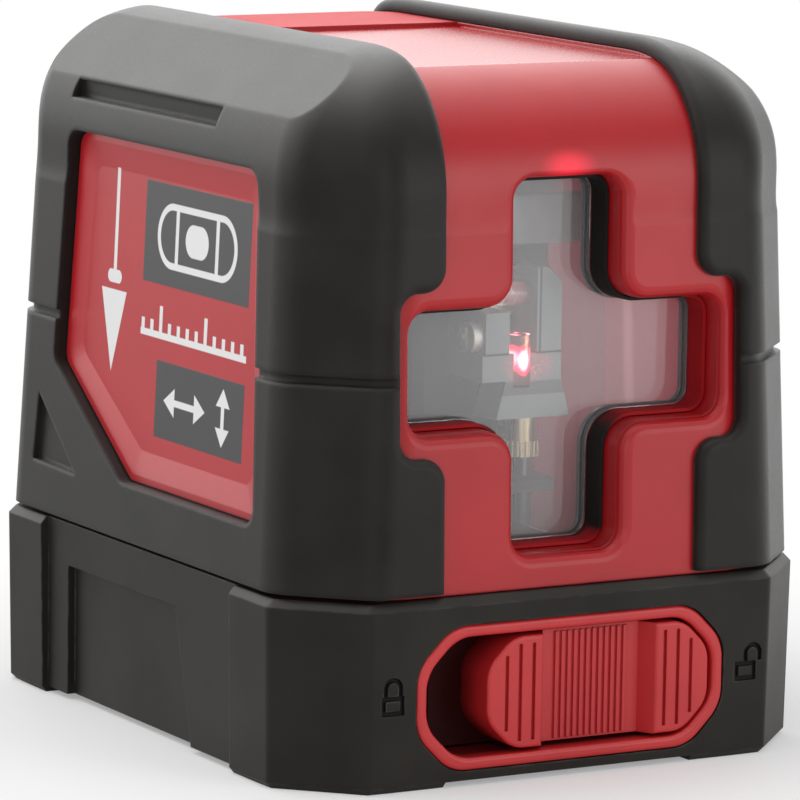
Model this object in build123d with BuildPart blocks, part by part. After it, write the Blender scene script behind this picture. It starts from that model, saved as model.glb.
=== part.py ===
from build123d import *
import math
import os

# A palm-size self-levelling line laser with a plumb pendulum inside.
# Millimetres, +Z up, the front faces -Y, the origin is under the middle of the feet.
os.makedirs("parts", exist_ok=True)

# Base block
base_width = 62.0
base_depth = 75.0
base_height = 19.2
base_draft = 0.9
corner_cut = 7.6
base_edge_round = 1.2
rim_bevel = 0.8
bottom_bevel = 0.6
foot_height = 0.6
foot_inner_x = 14.5
foot_inner_y = 21.7
floor_top = 2.6
cavity_half_width = 27.5
cavity_half_depth = 35.4
cavity_cut = 6.0
side_recess = 1.0
pocket_recess = 0.9
pocket_rear = 17.0
pocket_front = -12.0
pocket_top = 14.6
pocket_slant = 4.0

# Upper body: an eight-sided plan with draft and a rounded shoulder
body_bottom = 19.7
body_top = 73.2
body_half_width = 30.6
body_half_depth = 37.3
side_draft = 2.4
front_draft = 1.2
rear_draft = 2.3
corner_round = 5.0
top_corner_cut = 2.6
round_per_cut = 1.5
top_half_width = 14.4
top_front = -23.5
top_rear = 29.0
front_rise = 14.0
side_rise = 12.0
rear_rise = 8.5
shoulder_lead = 4.0
shoulder_steps = 6

# Layers of the body, measured inwards from the rubber
rubber_end = 1.1
rubber_side = 2.4
rubber_top = 1.5
glue_gap = 0.1
housing_wall = 2.0
housing_bottom = 19.3
deep = 60.0

# Red band between the rubber covers, with the frame of the window
band_half_width = 14.7
frame_half_width = 19.8
frame_low = 33.3
frame_high = 49.7
frame_outer_round = 2.0
frame_inner_round = 2.5
rubber_edge_round = 0.9
rim_clear_of_bed = 0.72
band_reach = 80.0

# Rubber cover features
waist_height = 40.6
waist_width = 1.0
waist_depth = 0.5
grip_low = 64.3
grip_high = 66.2
facet_turn = 52.5
facet_reach = 69.28
grip_front = -12.5
grip_rear = 20.4
grip_depth = 26.9
scoop_depth = 0.7
scoop_corners = [(-24.2, 12.6), (-25.0, 5.3), (-14.8, 5.1)]

# Label plates in the sides
label_rear_top = -19.7
label_rear_low = -21.1
label_front_top = 23.0
label_front_low = 25.4
label_low = 5.9
label_high = 41.4
label_knee = -4.4
label_knee_high = 16.6
label_gap = 0.2
label_sunk = 1.4
label_round = 2.0
half_corner = 22.5
dish_depth = 0.4
dish_rim = 0.9
dish_slope = 2.6

# Window
window_height = 41.5
window_arm = 6.25
window_half_width = 18.2
window_half_height = 19.0
window_inner_round = 3.0
window_outer_round = 2.2
window_taper = 1.0
window_lip = 1.2
lip_turns = (0, 22.5, 45, 67.5, 90)
tunnel_wall = 1.4
tunnel_front = 34.0
tunnel_rear = 28.2
pane_thickness = 1.5
pane_gap = 0.45
pane_edge = 0.2
gasket_overlap = 0.3
gasket_thickness = 0.6
seal_depth = 2.75
seal_gap = 0.05
seal_thickness = 0.35

# Sunken places on the red band, top and back
top_sunk = 0.5
top_sunk_front = -30.0
top_sunk_rear = 13.5
back_sunk = 0.4
back_panel_half_width = 11.0
back_panel_low = 30.0
back_panel_high = 58.0

# Screws that hold base, deck and housing together
screw_x = 24.5
screw_y = 27.0
screw_hole = 1.4
screw_shank = 1.25
screw_head = 2.2
screw_head_hole = 2.5
screw_seat = 3.6
screw_head_height = 1.7
screw_end = 27.5
drive_length_share = 1.2
drive_width_share = 0.35
drive_depth_share = 0.6
boss_radius = 3.4
post_radius = 2.8
post_top = 31.0
pilot_radius = 1.27

# Deck over the base
deck_thickness = 1.5
deck_gap = 0.3

# Switch bezel, slider and its carriage
bezel_half_width = 18.0
bezel_low = 1.6
bezel_high = 16.4
bezel_cut = 4.0
bezel_round = 4.5
bezel_rim = 1.25
bezel_front = 37.35
bezel_rear = 32.0
bezel_edge = 0.45
bezel_gap = 0.05
slider_left = -9.8
slider_right = 16.3
slider_low = 3.25
slider_high = 14.75
slider_cut = 3.0
slider_round = 3.4
slider_front = 37.25
slider_rear = 31.8
slider_travel = 6.5
grip_pad_width = 6.3
pad_slope = 1.1
saddle_depth = 2.0
rib_count = 12
rib_pitch = 0.73
rib_width = 0.42
rib_height = 0.25
pad_groove_places = (1.0, 2.55, 4.1)
pad_groove_margins = (0.8, 0.8, 1.9)
pad_groove_width = 0.4
pad_groove_depth = 0.45
pad_edge = 0.35
carriage_left = -13.6
carriage_right = 20.2
carriage_low = 2.95
carriage_high = 15.6
carriage_front = 31.8
carriage_rear = 30.25
tongue_left = -3.0
tongue_right = 9.3
shelf_low = 14.0
neck_front = -26.8
neck_rear = -25.2
neck_slot_gap = 0.5
tongue_low = 19.5
tongue_high = 20.7
tongue_rear = -5.2

# Padlock marks beside the bezel
mark_x = 20.7
mark_z = 8.9
mark_width = 2.6
mark_height = 2.0
mark_line = 0.5
mark_depth = 0.3
shackle_radius = 0.85
shackle_rise = 0.8

# Brake raised by a ramp on the carriage
pivot_y = -8.0
brake_lift = 2.0
ramp_half_depth = 2.5
ramp_left = -2.0
ramp_right = 8.6
foot_half_width = 2.0
foot_gap = 0.15
ramp_rest = 21.35
brake_half_width = 13.0
brake_half_depth = 4.0
brake_round = 1.5
brake_bottom = 24.4
brake_top = 25.6
pad_radius = 5.0
pad_top = 26.6
brake_post_x = 11.0
brake_post_radius = 1.0
brake_post_gap = 0.08
brake_post_top = 30.0

# Power switch under the deck
switch_half_width = 6.5
switch_front = -24.4
switch_rear = -20.8
switch_low = 13.7
knob_left = 2.0
knob_right = 4.0
knob_low = 14.8
knob_high = 16.4
knob_front = -26.4
knob_rear = -23.6
knob_gap = 0.3
terminal_radius = 0.35
terminal_length = 1.5
terminal_pitch = 3.0

# Cells, contacts and the battery door
cell_x = 14.2
cell_z = 10.2
cell_radius = 7.25
cell_length = 49.2
cell_front = -17.0
cell_edge = 0.5
nub_radius = 2.75
nub_length = 1.3
cradle_gap = 0.3
cradle_high = 6.0
cradle_width = 3.0
cradle_places = (-4.0, 10.0, 24.0)
bulkhead_front = -20.6
bulkhead_rear = -19.7
bulkhead_half_width = 23.0
bulkhead_high = 16.0
contact_half_width = 4.5
contact_low = 6.0
contact_high = 14.4
contact_thickness = 0.4
contact_bump = 2.2
contact_gap = 0.3
door_half_width = 22.2
door_gap = 0.2
door_thickness = 2.3
door_high = 17.2
door_axis_y = 36.25
door_axis_z = 3.65
door_pin_radius = 0.6
door_pin_gap = 0.05
door_pin_half_length = 23.9
ear_outer = 25.6
ear_front = 33.4
ear_high = 8.0
door_edge = 0.3
door_grip_half_width = 7.0
door_grip_low = 13.6
door_grip_high = 15.6
door_grip_depth = 0.8
latch_half_width = 4.0
latch_low = 14.4
latch_high = 16.9
latch_thickness = 0.8
strip_half_width = 19.0
strip_low = 7.4
strip_high = 13.0

# Tripod thread, 1/4 inch with 20 threads to the inch, as its minor diameter
tripod_bore = 2.55
tripod_length = 11.0
tripod_cap = 1.0
tripod_body = 4.6
tripod_flange = 5.5
tripod_flange_height = 2.0
tripod_boss = 6.3
tripod_gap = 0.05

# Gimbal yoke, ring, pins and bearings
pivot_z = 59.0
yoke_inner = 14.0
yoke_outer = 17.0
yoke_front = -14.0
yoke_rear = -2.0
yoke_top = 64.0
bridge_top = 66.4
yoke_foot_outer = 22.0
yoke_foot_height = 2.0
yoke_screw_x = 19.6
yoke_screw_reach = 3.0
panel_front = -20.4
panel_rear = -18.9
panel_low = 51.9
panel_high = 57.0
bearing_outer = 2.5
bearing_bore = 1.05
bearing_width = 2.3
bearing_groove = 0.25
pin_radius = 1.0
ring_half_x = 10.5
ring_half_y = 9.5
ring_wall = 3.0
ring_half_height = 3.5
pin_end = 16.8
roll_pin_end = 9.3
pin_hold = 0.02

# Pendulum
neck_half_width = 3.4
neck_half_depth = 3.0
neck_top = 62.5
block_half_width = 8.0
block_front = -18.0
block_rear = -2.0
block_low = 34.0
block_high = 52.0
block_edge = 1.0
stem_half_width = 4.0
stem_front = -14.0
damper_half_width = 7.0
damper_front = -15.0
damper_rear = 6.0
damper_low = 29.8
damper_high = 31.3
weight_rear = 4.2
weight_low = 40.0
weight_high = 48.9
weight_half_width = 7.0

# Lasers and lenses on the pendulum
lower_beam = 40.8
upper_beam = 47.4
barrel_radius = 2.9
barrel_front = -21.0
barrel_rear = -7.6
barrel_hold = 0.03
barrel_bore = 1.2
barrel_bore_depth = 4.0
holder_front = -25.6
holder_rear = -21.05
crossbar_half_width = 4.65
crossbar_low = 38.7
crossbar_high = 41.5
left_box_inner = -1.5
left_box_outer = -4.3
left_box_high = 45.8
right_post_inner = 1.7
right_post_outer = 4.6
right_post_high = 50.2
post_bevel = 1.6
flare_left = -2.9
flare_right = 5.7
flare_low = 34.8
flare_neck = 1.0
lug_gap = 0.2
lens_radius = 1.2
lens_hold = 0.04
lower_lens_low = 38.0
lower_lens_high = 43.4
upper_lens_half_length = 3.4
lens_y = -24.8
upper_lens_y = -23.4
holder_screw_z = 43.2
holder_screw_y = -23.6
holder_screw_radius = 1.6
holder_screw_head = 1.1
balance_x = 1.2
balance_y = -23.6
balance_radius = 1.6
balance_ring_radius = 1.9
balance_low = 30.7
balance_ring_top = 32.3
balance_grip = 2.5
knurl_count = 20
knurl_radius = 0.16

# Magnets that damp the swing
magnet_front = 0.4
magnet_rear = 6.4
magnet_half_width = 5.0
magnet_thickness = 2.0
magnet_low_top = 27.4
magnet_high_bottom = 33.7
bracket_wall = 1.5
bracket_rear = 11.0
bracket_flange_width = 10.5
bracket_flange_front = 3.0
bracket_flange_rear = 9.0
bracket_screw_x = 8.6

# Driver board behind the pendulum
board_half_width = 20.0
board_front = 13.0
board_rear = 32.4
board_low = 22.0
board_thickness = 1.6
board_edge = 1.0
standoff_x = 17.4
standoff_front = 15.6
standoff_rear = 29.8
standoff_radius = 2.3
small_screw_radius = 0.95
small_head_radius = 1.8
small_head_height = 1.3
small_hole_gap = 0.05
small_screw_grip = 2.2

# Parts on the driver board: x, y, width, depth, height of blocks and x, y, radius, height of cans
board_blocks = [
    (-11.0, 17.0, 9.0, 5.0, 4.5),
    (2.0, 22.0, 7.0, 7.0, 1.4),
    (-6.0, 26.0, 5.0, 4.0, 1.1),
    (11.5, 27.5, 3.2, 1.6, 0.8),
]
board_cans = [(11.0, 19.0, 2.5, 6.5), (-12.5, 26.0, 1.6, 4.0), (7.5, 28.5, 1.5, 3.6)]


def block(x, y, z, mode=Mode.ADD):
    """A box between a low and a high limit along each axis."""
    limits = (x, y, z)
    middle = [(low + high) / 2 for low, high in limits]
    with Locations(tuple(middle)):
        return Box(*[high - low for low, high in limits], mode=mode)


def rod(start, end, radius, mode=Mode.ADD):
    """A round rod from one point to another."""
    along = Vector(*end) - Vector(*start)
    with Locations(Plane(origin=start, z_dir=along)):
        lengthwise = (Align.CENTER, Align.CENTER, Align.MIN)
        return Cylinder(radius, along.length, align=lengthwise, mode=mode)


def octagon(half_width, front, rear, cut):
    """Corner points of a plan rectangle with its four corners cut at 45 degrees."""
    return [
        (-half_width, front + cut),
        (-half_width + cut, front),
        (half_width - cut, front),
        (half_width, front + cut),
        (half_width, rear - cut),
        (half_width - cut, rear),
        (-half_width + cut, rear),
        (-half_width, rear - cut),
    ]


def octagon_sketch(plane, half_width, front, rear, cut, rounding=0.0):
    """A sketch of that outline, with rounded corners where asked for."""
    with BuildSketch(plane) as sketch:
        with BuildLine():
            Polyline(*octagon(half_width, front, rear, cut), close=True)
        make_face()
        if rounding:
            fillet(sketch.vertices(), rounding)
    return sketch.sketch


def drawn_in(height, top, rise, reach):
    """How far an elliptical shoulder has drawn in at a height."""
    climb = min(max((height - top + rise) / rise, 0.0), 1.0)
    return reach * (1.0 - math.sqrt(1.0 - climb * climb))


def body_section(height, end_inset, side_inset, top_inset):
    """Plan of the upper body at a height, drawn in by an inset on each side."""
    climb = height - body_bottom
    top = body_top - top_inset
    width = body_half_width - side_inset - climb * math.tan(math.radians(side_draft))
    ahead = body_half_depth - end_inset - climb * math.tan(math.radians(front_draft))
    behind = body_half_depth - end_inset - climb * math.tan(math.radians(rear_draft))
    half_width = width - drawn_in(height, top, side_rise - top_inset, width - top_half_width)
    front = drawn_in(height, top, front_rise - top_inset, ahead + top_front) - ahead
    rear = behind - drawn_in(height, top, rear_rise - top_inset, behind - top_rear)
    crown = max(height - top + front_rise - top_inset, 0.0) / (front_rise - top_inset)
    cut = corner_cut - (corner_cut - top_corner_cut) * crown * crown
    plane = Plane.XY.offset(height)
    return octagon_sketch(plane, half_width, front, rear, cut, min(corner_round, cut * round_per_cut))


def envelope(bottom, end_inset, side_inset, top_inset):
    """The upper body as a solid: straight sides under a rounded shoulder."""
    insets = (end_inset, side_inset, top_inset)
    rise = front_rise - top_inset
    shoulder = body_top - front_rise
    lead = shoulder - shoulder_lead
    heights = [lead]
    for step in range(shoulder_steps + 1):
        heights.append(shoulder + rise * math.sin(math.radians(90 * step / shoulder_steps)))
    with BuildPart() as body:
        loft(sections=[body_section(h, *insets) for h in (bottom, lead)], ruled=True)
        loft(sections=[body_section(h, *insets) for h in heights])
    return body.part


def cross_sketch(plane, arm, half_width, half_height, inner_round, outer_round):
    """An upright cross with rounded inner and outer corners."""
    with BuildSketch(plane) as cross:
        Rectangle(2 * arm, 2 * half_height)
        Rectangle(2 * half_width, 2 * arm)
        centre = (0, 0, 0)
        fillet(cross.vertices().sort_by_distance(centre)[-8:], outer_round)
        fillet(cross.vertices().sort_by_distance(centre)[:4], inner_round)
    return cross.sketch


def window_plane(distance):
    """A plane facing the front at the window's centre, this far in front of the middle."""
    return Plane(origin=(0, -distance, window_height), x_dir=(1, 0, 0), z_dir=(0, -1, 0))


def band_front_plane(depth):
    """A plane on the red band's drafted front at the window's centre, this deep below it."""
    tilt = math.radians(front_draft)
    outward = Vector(0, -math.cos(tilt), math.sin(tilt))
    rise = window_height - body_bottom
    surface = rise * math.tan(tilt) - body_half_depth + rubber_end + glue_gap
    start = Vector(0, surface, window_height) - outward * depth
    return Plane(origin=start, x_dir=(1, 0, 0), z_dir=outward)


def window_cross(plane, growth):
    """The window's cross on a plane facing the front, grown on every side by a margin."""
    return cross_sketch(
        plane,
        window_arm + growth,
        window_half_width + growth,
        window_half_height + growth,
        window_inner_round - growth,
        window_outer_round + growth,
    )


def front_plane(distance, across=0.0):
    """A plane facing the front, this far in front of the middle, with its origin on the floor."""
    return Plane(origin=(across, -distance, 0), x_dir=(1, 0, 0), z_dir=(0, -1, 0))


def front_octagon(distance, left, right, low, high, cut, rounding):
    """An outline with cut corners on a plane facing the front."""
    plane = front_plane(distance, (left + right) / 2)
    return octagon_sketch(plane, (right - left) / 2, low, high, cut, rounding)


def side_plane(depth):
    """A plane lying on the drafted left side, this deep below the rubber's surface."""
    tilt = math.radians(side_draft)
    outward = Vector(-math.cos(tilt), 0, math.sin(tilt))
    start = Vector(-body_half_width, 0, body_bottom) - outward * depth
    return Plane(origin=start, x_dir=(0, -1, 0), z_dir=outward)


def rear_plane(depth):
    """A plane lying on the red band's drafted back, this deep below its surface."""
    tilt = math.radians(rear_draft)
    outward = Vector(0, math.cos(tilt), math.sin(tilt))
    start = Vector(0, body_half_depth - rubber_end - glue_gap, body_bottom) - outward * depth
    return Plane(origin=start, x_dir=(-1, 0, 0), z_dir=outward)


def label_points(shrink):
    """Corners of the label opening, forwards and upwards on the side, drawn in by a margin."""
    slant = shrink * math.tan(math.radians(half_corner))
    return [
        (label_rear_top + shrink, label_high - shrink),
        (label_front_top - shrink, label_high - shrink),
        (label_front_low - shrink, label_low + shrink),
        (label_knee + slant, label_low + shrink),
        (label_rear_low + shrink, label_knee_high + slant),
    ]


def label_sketch(plane, shrink, rounding):
    """The label opening's outline on a side plane."""
    with BuildSketch(plane) as label:
        with BuildLine():
            Polyline(*label_points(shrink), close=True)
        make_face()
        fillet(label.vertices(), rounding)
    return label.sketch


def pan_screw(seat, end, head_radius, shank_radius, head_height):
    """A cross-recess screw whose head lies behind its seat, driven towards its end."""
    along = (Vector(*end) - Vector(*seat)).normalized()
    crown = Vector(*seat) - along * head_height
    rod(seat, tuple(crown), head_radius)
    rod(seat, end, shank_radius)
    slot = Plane(origin=crown, z_dir=along)
    with Locations(slot):
        recess = (Align.CENTER, Align.CENTER, Align.MIN)
        length = head_radius * drive_length_share
        width = head_radius * drive_width_share
        depth = head_height * drive_depth_share
        Box(length, width, depth, align=recess, mode=Mode.SUBTRACT)
        Box(width, length, depth, align=recess, mode=Mode.SUBTRACT)


def save(part, name):
    """Label a finished piece and write it to its own file."""
    part.label = name
    export_step(part, f"parts/{name}.step")


corners = [(x, y) for x in (-screw_x, screw_x) for y in (-screw_y, screw_y)]
front_wall = base_depth / 2
side_wall = base_width / 2
tripod_top = foot_height + tripod_length + tripod_cap
tripod_seat = tripod_top - tripod_flange_height
deck_bottom = base_height - deck_thickness
yoke_screw_rows = (pivot_y - yoke_screw_reach, pivot_y + yoke_screw_reach)
yoke_places = [(x, y) for x in (-yoke_screw_x, yoke_screw_x) for y in yoke_screw_rows]
bracket_screw_y = (bracket_flange_front + bracket_flange_rear) / 2
bracket_places = [(x, bracket_screw_y) for x in (-bracket_screw_x, bracket_screw_x)]
door_round = door_thickness / 2
cell_rear = cell_front + cell_length
ramp_slope = brake_lift / slider_travel
board_corners = [(x, y) for x in (-standoff_x, standoff_x) for y in (standoff_front, standoff_rear)]
board_top = board_low + board_thickness

# Envelopes of the rubber, the red housing and the room inside it
rubber_skin = envelope(body_bottom, 0, 0, 0)
rubber_bed = envelope(housing_bottom, rubber_end, rubber_side, rubber_top)
housing_insets = [inset + glue_gap for inset in (rubber_end, rubber_side, rubber_top)]
housing_skin = envelope(housing_bottom, *housing_insets)
housing_room = envelope(housing_bottom, *[inset + housing_wall for inset in housing_insets])

# The space that the red band takes out of the rubber, front, top and back
with BuildPart() as band_space:
    with BuildSketch(Plane.XZ) as band_outline:
        with Locations((0, body_bottom)):
            Rectangle(2 * band_half_width, 2 * band_reach)
        with Locations((0, (frame_low + frame_high) / 2)):
            Rectangle(2 * frame_half_width, frame_high - frame_low)
        tips = band_outline.vertices().filter_by(lambda v: abs(v.X) > band_half_width + label_gap)
        fillet(tips, frame_outer_round)
        roots = band_outline.vertices().filter_by(lambda v: abs(v.X) < band_half_width + label_gap)
        fillet(roots.filter_by(lambda v: 0 < v.Y < body_top), frame_inner_round)
    extrude(amount=deep)
    band_width = (-band_half_width, band_half_width)
    block(band_width, (0, deep), (body_bottom - band_reach, body_bottom + band_reach))

# Shallow groove round the rubber at mid height
with BuildPart() as waist_groove:
    with BuildSketch(Plane.XY.offset(waist_height)):
        Rectangle(2 * deep, 2 * deep)
    extrude(amount=waist_width)
    waist = body_section(waist_height, waist_depth, waist_depth, 0)
    extrude(waist, amount=waist_width, mode=Mode.SUBTRACT)

with BuildPart() as left_rubber_cover:
    add(rubber_skin)
    add(rubber_bed, mode=Mode.SUBTRACT)
    add(band_space.part, mode=Mode.SUBTRACT)
    block((0, deep), (-deep, deep), (0, 2 * deep), mode=Mode.SUBTRACT)
    rim = left_rubber_cover.edges().filter_by(
        lambda edge: band_space.part.distance_to(edge.center()) < glue_gap
        and rubber_bed.distance_to(edge.center()) > rim_clear_of_bed
    )
    fillet(rim, rubber_edge_round)
    add(waist_groove.part, mode=Mode.SUBTRACT)
    label = label_sketch(side_plane(deep / 4), 0, label_round)
    extrude(label, amount=deep / 2, mode=Mode.SUBTRACT)
    block((-deep, -grip_depth), (grip_front, grip_rear), (grip_low, grip_high), mode=Mode.SUBTRACT)
    with BuildSketch(side_plane(scoop_depth)) as scoop:
        with BuildLine():
            Polyline(*scoop_corners, close=True)
        make_face()
    extrude(amount=rubber_side, mode=Mode.SUBTRACT)
    facet_way = Vector(-math.cos(math.radians(facet_turn)), 0, math.sin(math.radians(facet_turn)))
    with BuildSketch(Plane(origin=facet_way * facet_reach, z_dir=facet_way)):
        Rectangle(2 * deep, 2 * deep)
    extrude(amount=deep, mode=Mode.SUBTRACT)
save(left_rubber_cover.part, "left_rubber_cover")

with BuildPart() as right_rubber_cover:
    mirror(left_rubber_cover.part, about=Plane.YZ)
save(right_rubber_cover.part, "right_rubber_cover")

with BuildPart() as left_label_plate:
    label = label_sketch(side_plane(rubber_side), label_gap, label_round - label_gap)
    extrude(label, amount=rubber_side - label_sunk)
    dish_top = label_sketch(side_plane(label_sunk), dish_rim, label_round - label_gap)
    floor_plane = side_plane(label_sunk + dish_depth)
    dish_floor = label_sketch(floor_plane, dish_rim + dish_slope, label_round - label_gap)
    loft(sections=[dish_top, dish_floor], ruled=True, mode=Mode.SUBTRACT)
save(left_label_plate.part, "left_label_plate")

with BuildPart() as right_label_plate:
    mirror(left_label_plate.part, about=Plane.YZ)
save(right_label_plate.part, "right_label_plate")

# The way through the red front: a rounded lip, then walls that narrow inwards
lip_sections = []
for turn in lip_turns:
    lip_depth = window_lip * (1 - math.cos(math.radians(turn)))
    lip_growth = window_lip * (1 - math.sin(math.radians(turn)))
    lip_sections.append(window_cross(band_front_plane(lip_depth), lip_growth))

with BuildPart() as window_way:
    opening = window_cross(window_plane(body_half_depth), 0)
    extrude(opening, amount=tunnel_rear - body_half_depth, taper=window_taper)
    loft(sections=lip_sections, ruled=True)
    extrude(lip_sections[0], amount=window_lip)

with BuildPart() as main_housing:
    add(housing_skin)
    add(housing_room, mode=Mode.SUBTRACT)
    extrude(window_cross(window_plane(tunnel_rear), tunnel_wall), amount=tunnel_front - tunnel_rear)
    for x, y in corners:
        rod((x, y, housing_bottom), (x, y, post_top), post_radius)
    add(window_way.part, mode=Mode.SUBTRACT)
    for x, y in corners:
        rod((x, y, housing_bottom), (x, y, post_top - housing_wall), pilot_radius, mode=Mode.SUBTRACT)
    block(
        (-band_half_width, band_half_width),
        (top_sunk_front, top_sunk_rear),
        (body_top - rubber_top - glue_gap - top_sunk, body_top),
        mode=Mode.SUBTRACT,
    )
    with BuildSketch(rear_plane(back_sunk)) as back_panel:
        with Locations((0, (back_panel_low + back_panel_high) / 2 - body_bottom)):
            RectangleRounded(2 * back_panel_half_width, back_panel_high - back_panel_low, label_round)
    extrude(amount=deep / 4, mode=Mode.SUBTRACT)
save(main_housing.part, "main_housing")

with BuildPart() as window_pane:
    extrude(window_cross(window_plane(tunnel_rear), -pane_gap), amount=pane_thickness)
    chamfer(window_pane.faces().sort_by(Axis.Y)[0].edges(), pane_edge)
save(window_pane.part, "window_pane")

with BuildPart() as window_gasket:
    extrude(window_cross(window_plane(tunnel_rear), tunnel_wall), amount=-gasket_thickness)
    inner_edge = window_cross(window_plane(tunnel_rear), -pane_gap - gasket_overlap)
    extrude(inner_edge, amount=-gasket_thickness, mode=Mode.SUBTRACT)
save(window_gasket.part, "window_gasket")

with BuildPart() as window_seal:
    seal_rear = tunnel_rear + pane_thickness + seal_gap
    seal_growth = -seal_gap - (body_half_depth - seal_rear) * math.tan(math.radians(window_taper))
    extrude(window_cross(window_plane(seal_rear), seal_growth), amount=seal_depth)
    seal_way = window_cross(window_plane(seal_rear), seal_growth - seal_thickness)
    extrude(seal_way, amount=seal_depth, mode=Mode.SUBTRACT)
save(window_seal.part, "window_seal")


def padlock_sketch(across, bow_shift):
    """A small padlock outline on the base's front; the open one has its bow shifted."""
    face = front_wall - (base_height - mark_z) * math.tan(math.radians(base_draft))
    plane = Plane(origin=(across, mark_depth - face, mark_z), x_dir=(1, 0, 0), z_dir=(0, -1, 0))
    bow_height = mark_height / 2 + shackle_rise
    with BuildSketch(plane) as padlock:
        with Locations((bow_shift, bow_height)):
            Circle(shackle_radius + mark_line / 2)
            Circle(shackle_radius - mark_line / 2, mode=Mode.SUBTRACT)
        with Locations((bow_shift, bow_height - mark_height)):
            Rectangle(2 * mark_width, 2 * mark_height, mode=Mode.SUBTRACT)
        for leg in (-shackle_radius, shackle_radius):
            with Locations((bow_shift + leg, mark_height / 2 + shackle_rise / 2)):
                Rectangle(mark_line, shackle_rise)
        Rectangle(mark_width, mark_height)
        Rectangle(mark_width - 2 * mark_line, mark_height - 2 * mark_line, mode=Mode.SUBTRACT)
    return padlock.sketch


with BuildPart() as base_shell:
    plan = octagon_sketch(
        Plane.XY.offset(base_height), side_wall, -front_wall, front_wall, corner_cut, base_edge_round
    )
    extrude(plan, amount=-base_height, taper=base_draft)
    chamfer(base_shell.faces().sort_by(Axis.Z)[-1].edges(), rim_bevel)
    chamfer(base_shell.faces().sort_by(Axis.Z)[0].edges(), bottom_bevel)
    for side in (-1, 1):
        recess = side * (side_wall - side_recess)
        recess_width = sorted((recess, side * deep))
        block(recess_width, (-foot_inner_y, foot_inner_y), (0, base_height), mode=Mode.SUBTRACT)
        with BuildSketch(Plane.YZ.offset(recess - side * pocket_recess)) as pocket:
            with BuildLine():
                Polyline(
                    (pocket_rear, 0),
                    (pocket_rear, pocket_top),
                    (pocket_front + pocket_slant, pocket_top),
                    (pocket_front, 0),
                    close=True,
                )
            make_face()
        extrude(amount=side * deep / 4, mode=Mode.SUBTRACT)
    block((-foot_inner_x, foot_inner_x), (-deep, deep), (0, foot_height), mode=Mode.SUBTRACT)
    block((-deep, deep), (-foot_inner_y, foot_inner_y), (0, foot_height), mode=Mode.SUBTRACT)
    cavity = octagon_sketch(
        Plane.XY.offset(floor_top), cavity_half_width, -cavity_half_depth, cavity_half_depth, cavity_cut
    )
    extrude(cavity, amount=base_height - floor_top, mode=Mode.SUBTRACT)
    bulkhead_width = (-bulkhead_half_width, bulkhead_half_width)
    block(bulkhead_width, (bulkhead_front, bulkhead_rear), (floor_top, bulkhead_high))
    for place in cradle_places:
        block(bulkhead_width, (place, place + cradle_width), (floor_top, cradle_high))
    rod((0, pivot_y, foot_height), (0, pivot_y, tripod_seat), tripod_boss)
    for x, y in corners:
        rod((x, y, foot_height), (x, y, deck_bottom), boss_radius)
    for x in (-cell_x, cell_x):
        rod((x, bulkhead_rear, cell_z), (x, cell_rear, cell_z), cell_radius + cradle_gap, mode=Mode.SUBTRACT)
    block(
        (-door_half_width - door_gap, door_half_width + door_gap),
        (door_axis_y - door_round - door_gap, deep),
        (door_axis_z - door_round - door_gap, door_high + door_gap),
        mode=Mode.SUBTRACT,
    )
    for side in (-1, 1):
        ear_width = sorted((side * (door_half_width + door_gap), side * ear_outer))
        block(ear_width, (ear_front, cavity_half_depth), (floor_top, ear_high))
    pin_bore = door_pin_half_length + door_gap
    rod(
        (-pin_bore, door_axis_y, door_axis_z),
        (pin_bore, door_axis_y, door_axis_z),
        door_pin_radius + door_pin_gap,
        mode=Mode.SUBTRACT,
    )
    bezel_hole = front_octagon(
        bezel_rear,
        -bezel_half_width - bezel_gap,
        bezel_half_width + bezel_gap,
        bezel_low - bezel_gap,
        bezel_high + bezel_gap,
        bezel_cut,
        bezel_round,
    )
    extrude(bezel_hole, amount=deep / 4, mode=Mode.SUBTRACT)
    rod((0, pivot_y, 0), (0, pivot_y, tripod_seat), tripod_body + tripod_gap, mode=Mode.SUBTRACT)
    for x, y in corners:
        rod((x, y, 0), (x, y, deck_bottom), screw_hole, mode=Mode.SUBTRACT)
        rod((x, y, 0), (x, y, screw_seat), screw_head_hole, mode=Mode.SUBTRACT)
    extrude(padlock_sketch(-mark_x, 0), amount=deep / 4, mode=Mode.SUBTRACT)
    extrude(padlock_sketch(mark_x, shackle_radius), amount=deep / 4, mode=Mode.SUBTRACT)
save(base_shell.part, "base_shell")

with BuildPart() as tripod_insert:
    rod((0, pivot_y, foot_height), (0, pivot_y, tripod_seat), tripod_body)
    rod((0, pivot_y, tripod_seat), (0, pivot_y, tripod_top), tripod_flange)
    bore_end = foot_height + tripod_length
    rod((0, pivot_y, foot_height), (0, pivot_y, bore_end), tripod_bore, mode=Mode.SUBTRACT)
save(tripod_insert.part, "tripod_insert")

with BuildPart() as base_screws:
    for x, y in corners:
        pan_screw((x, y, screw_seat), (x, y, screw_end), screw_head, screw_shank, screw_head_height)
save(base_screws.part, "base_screws")

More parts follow.
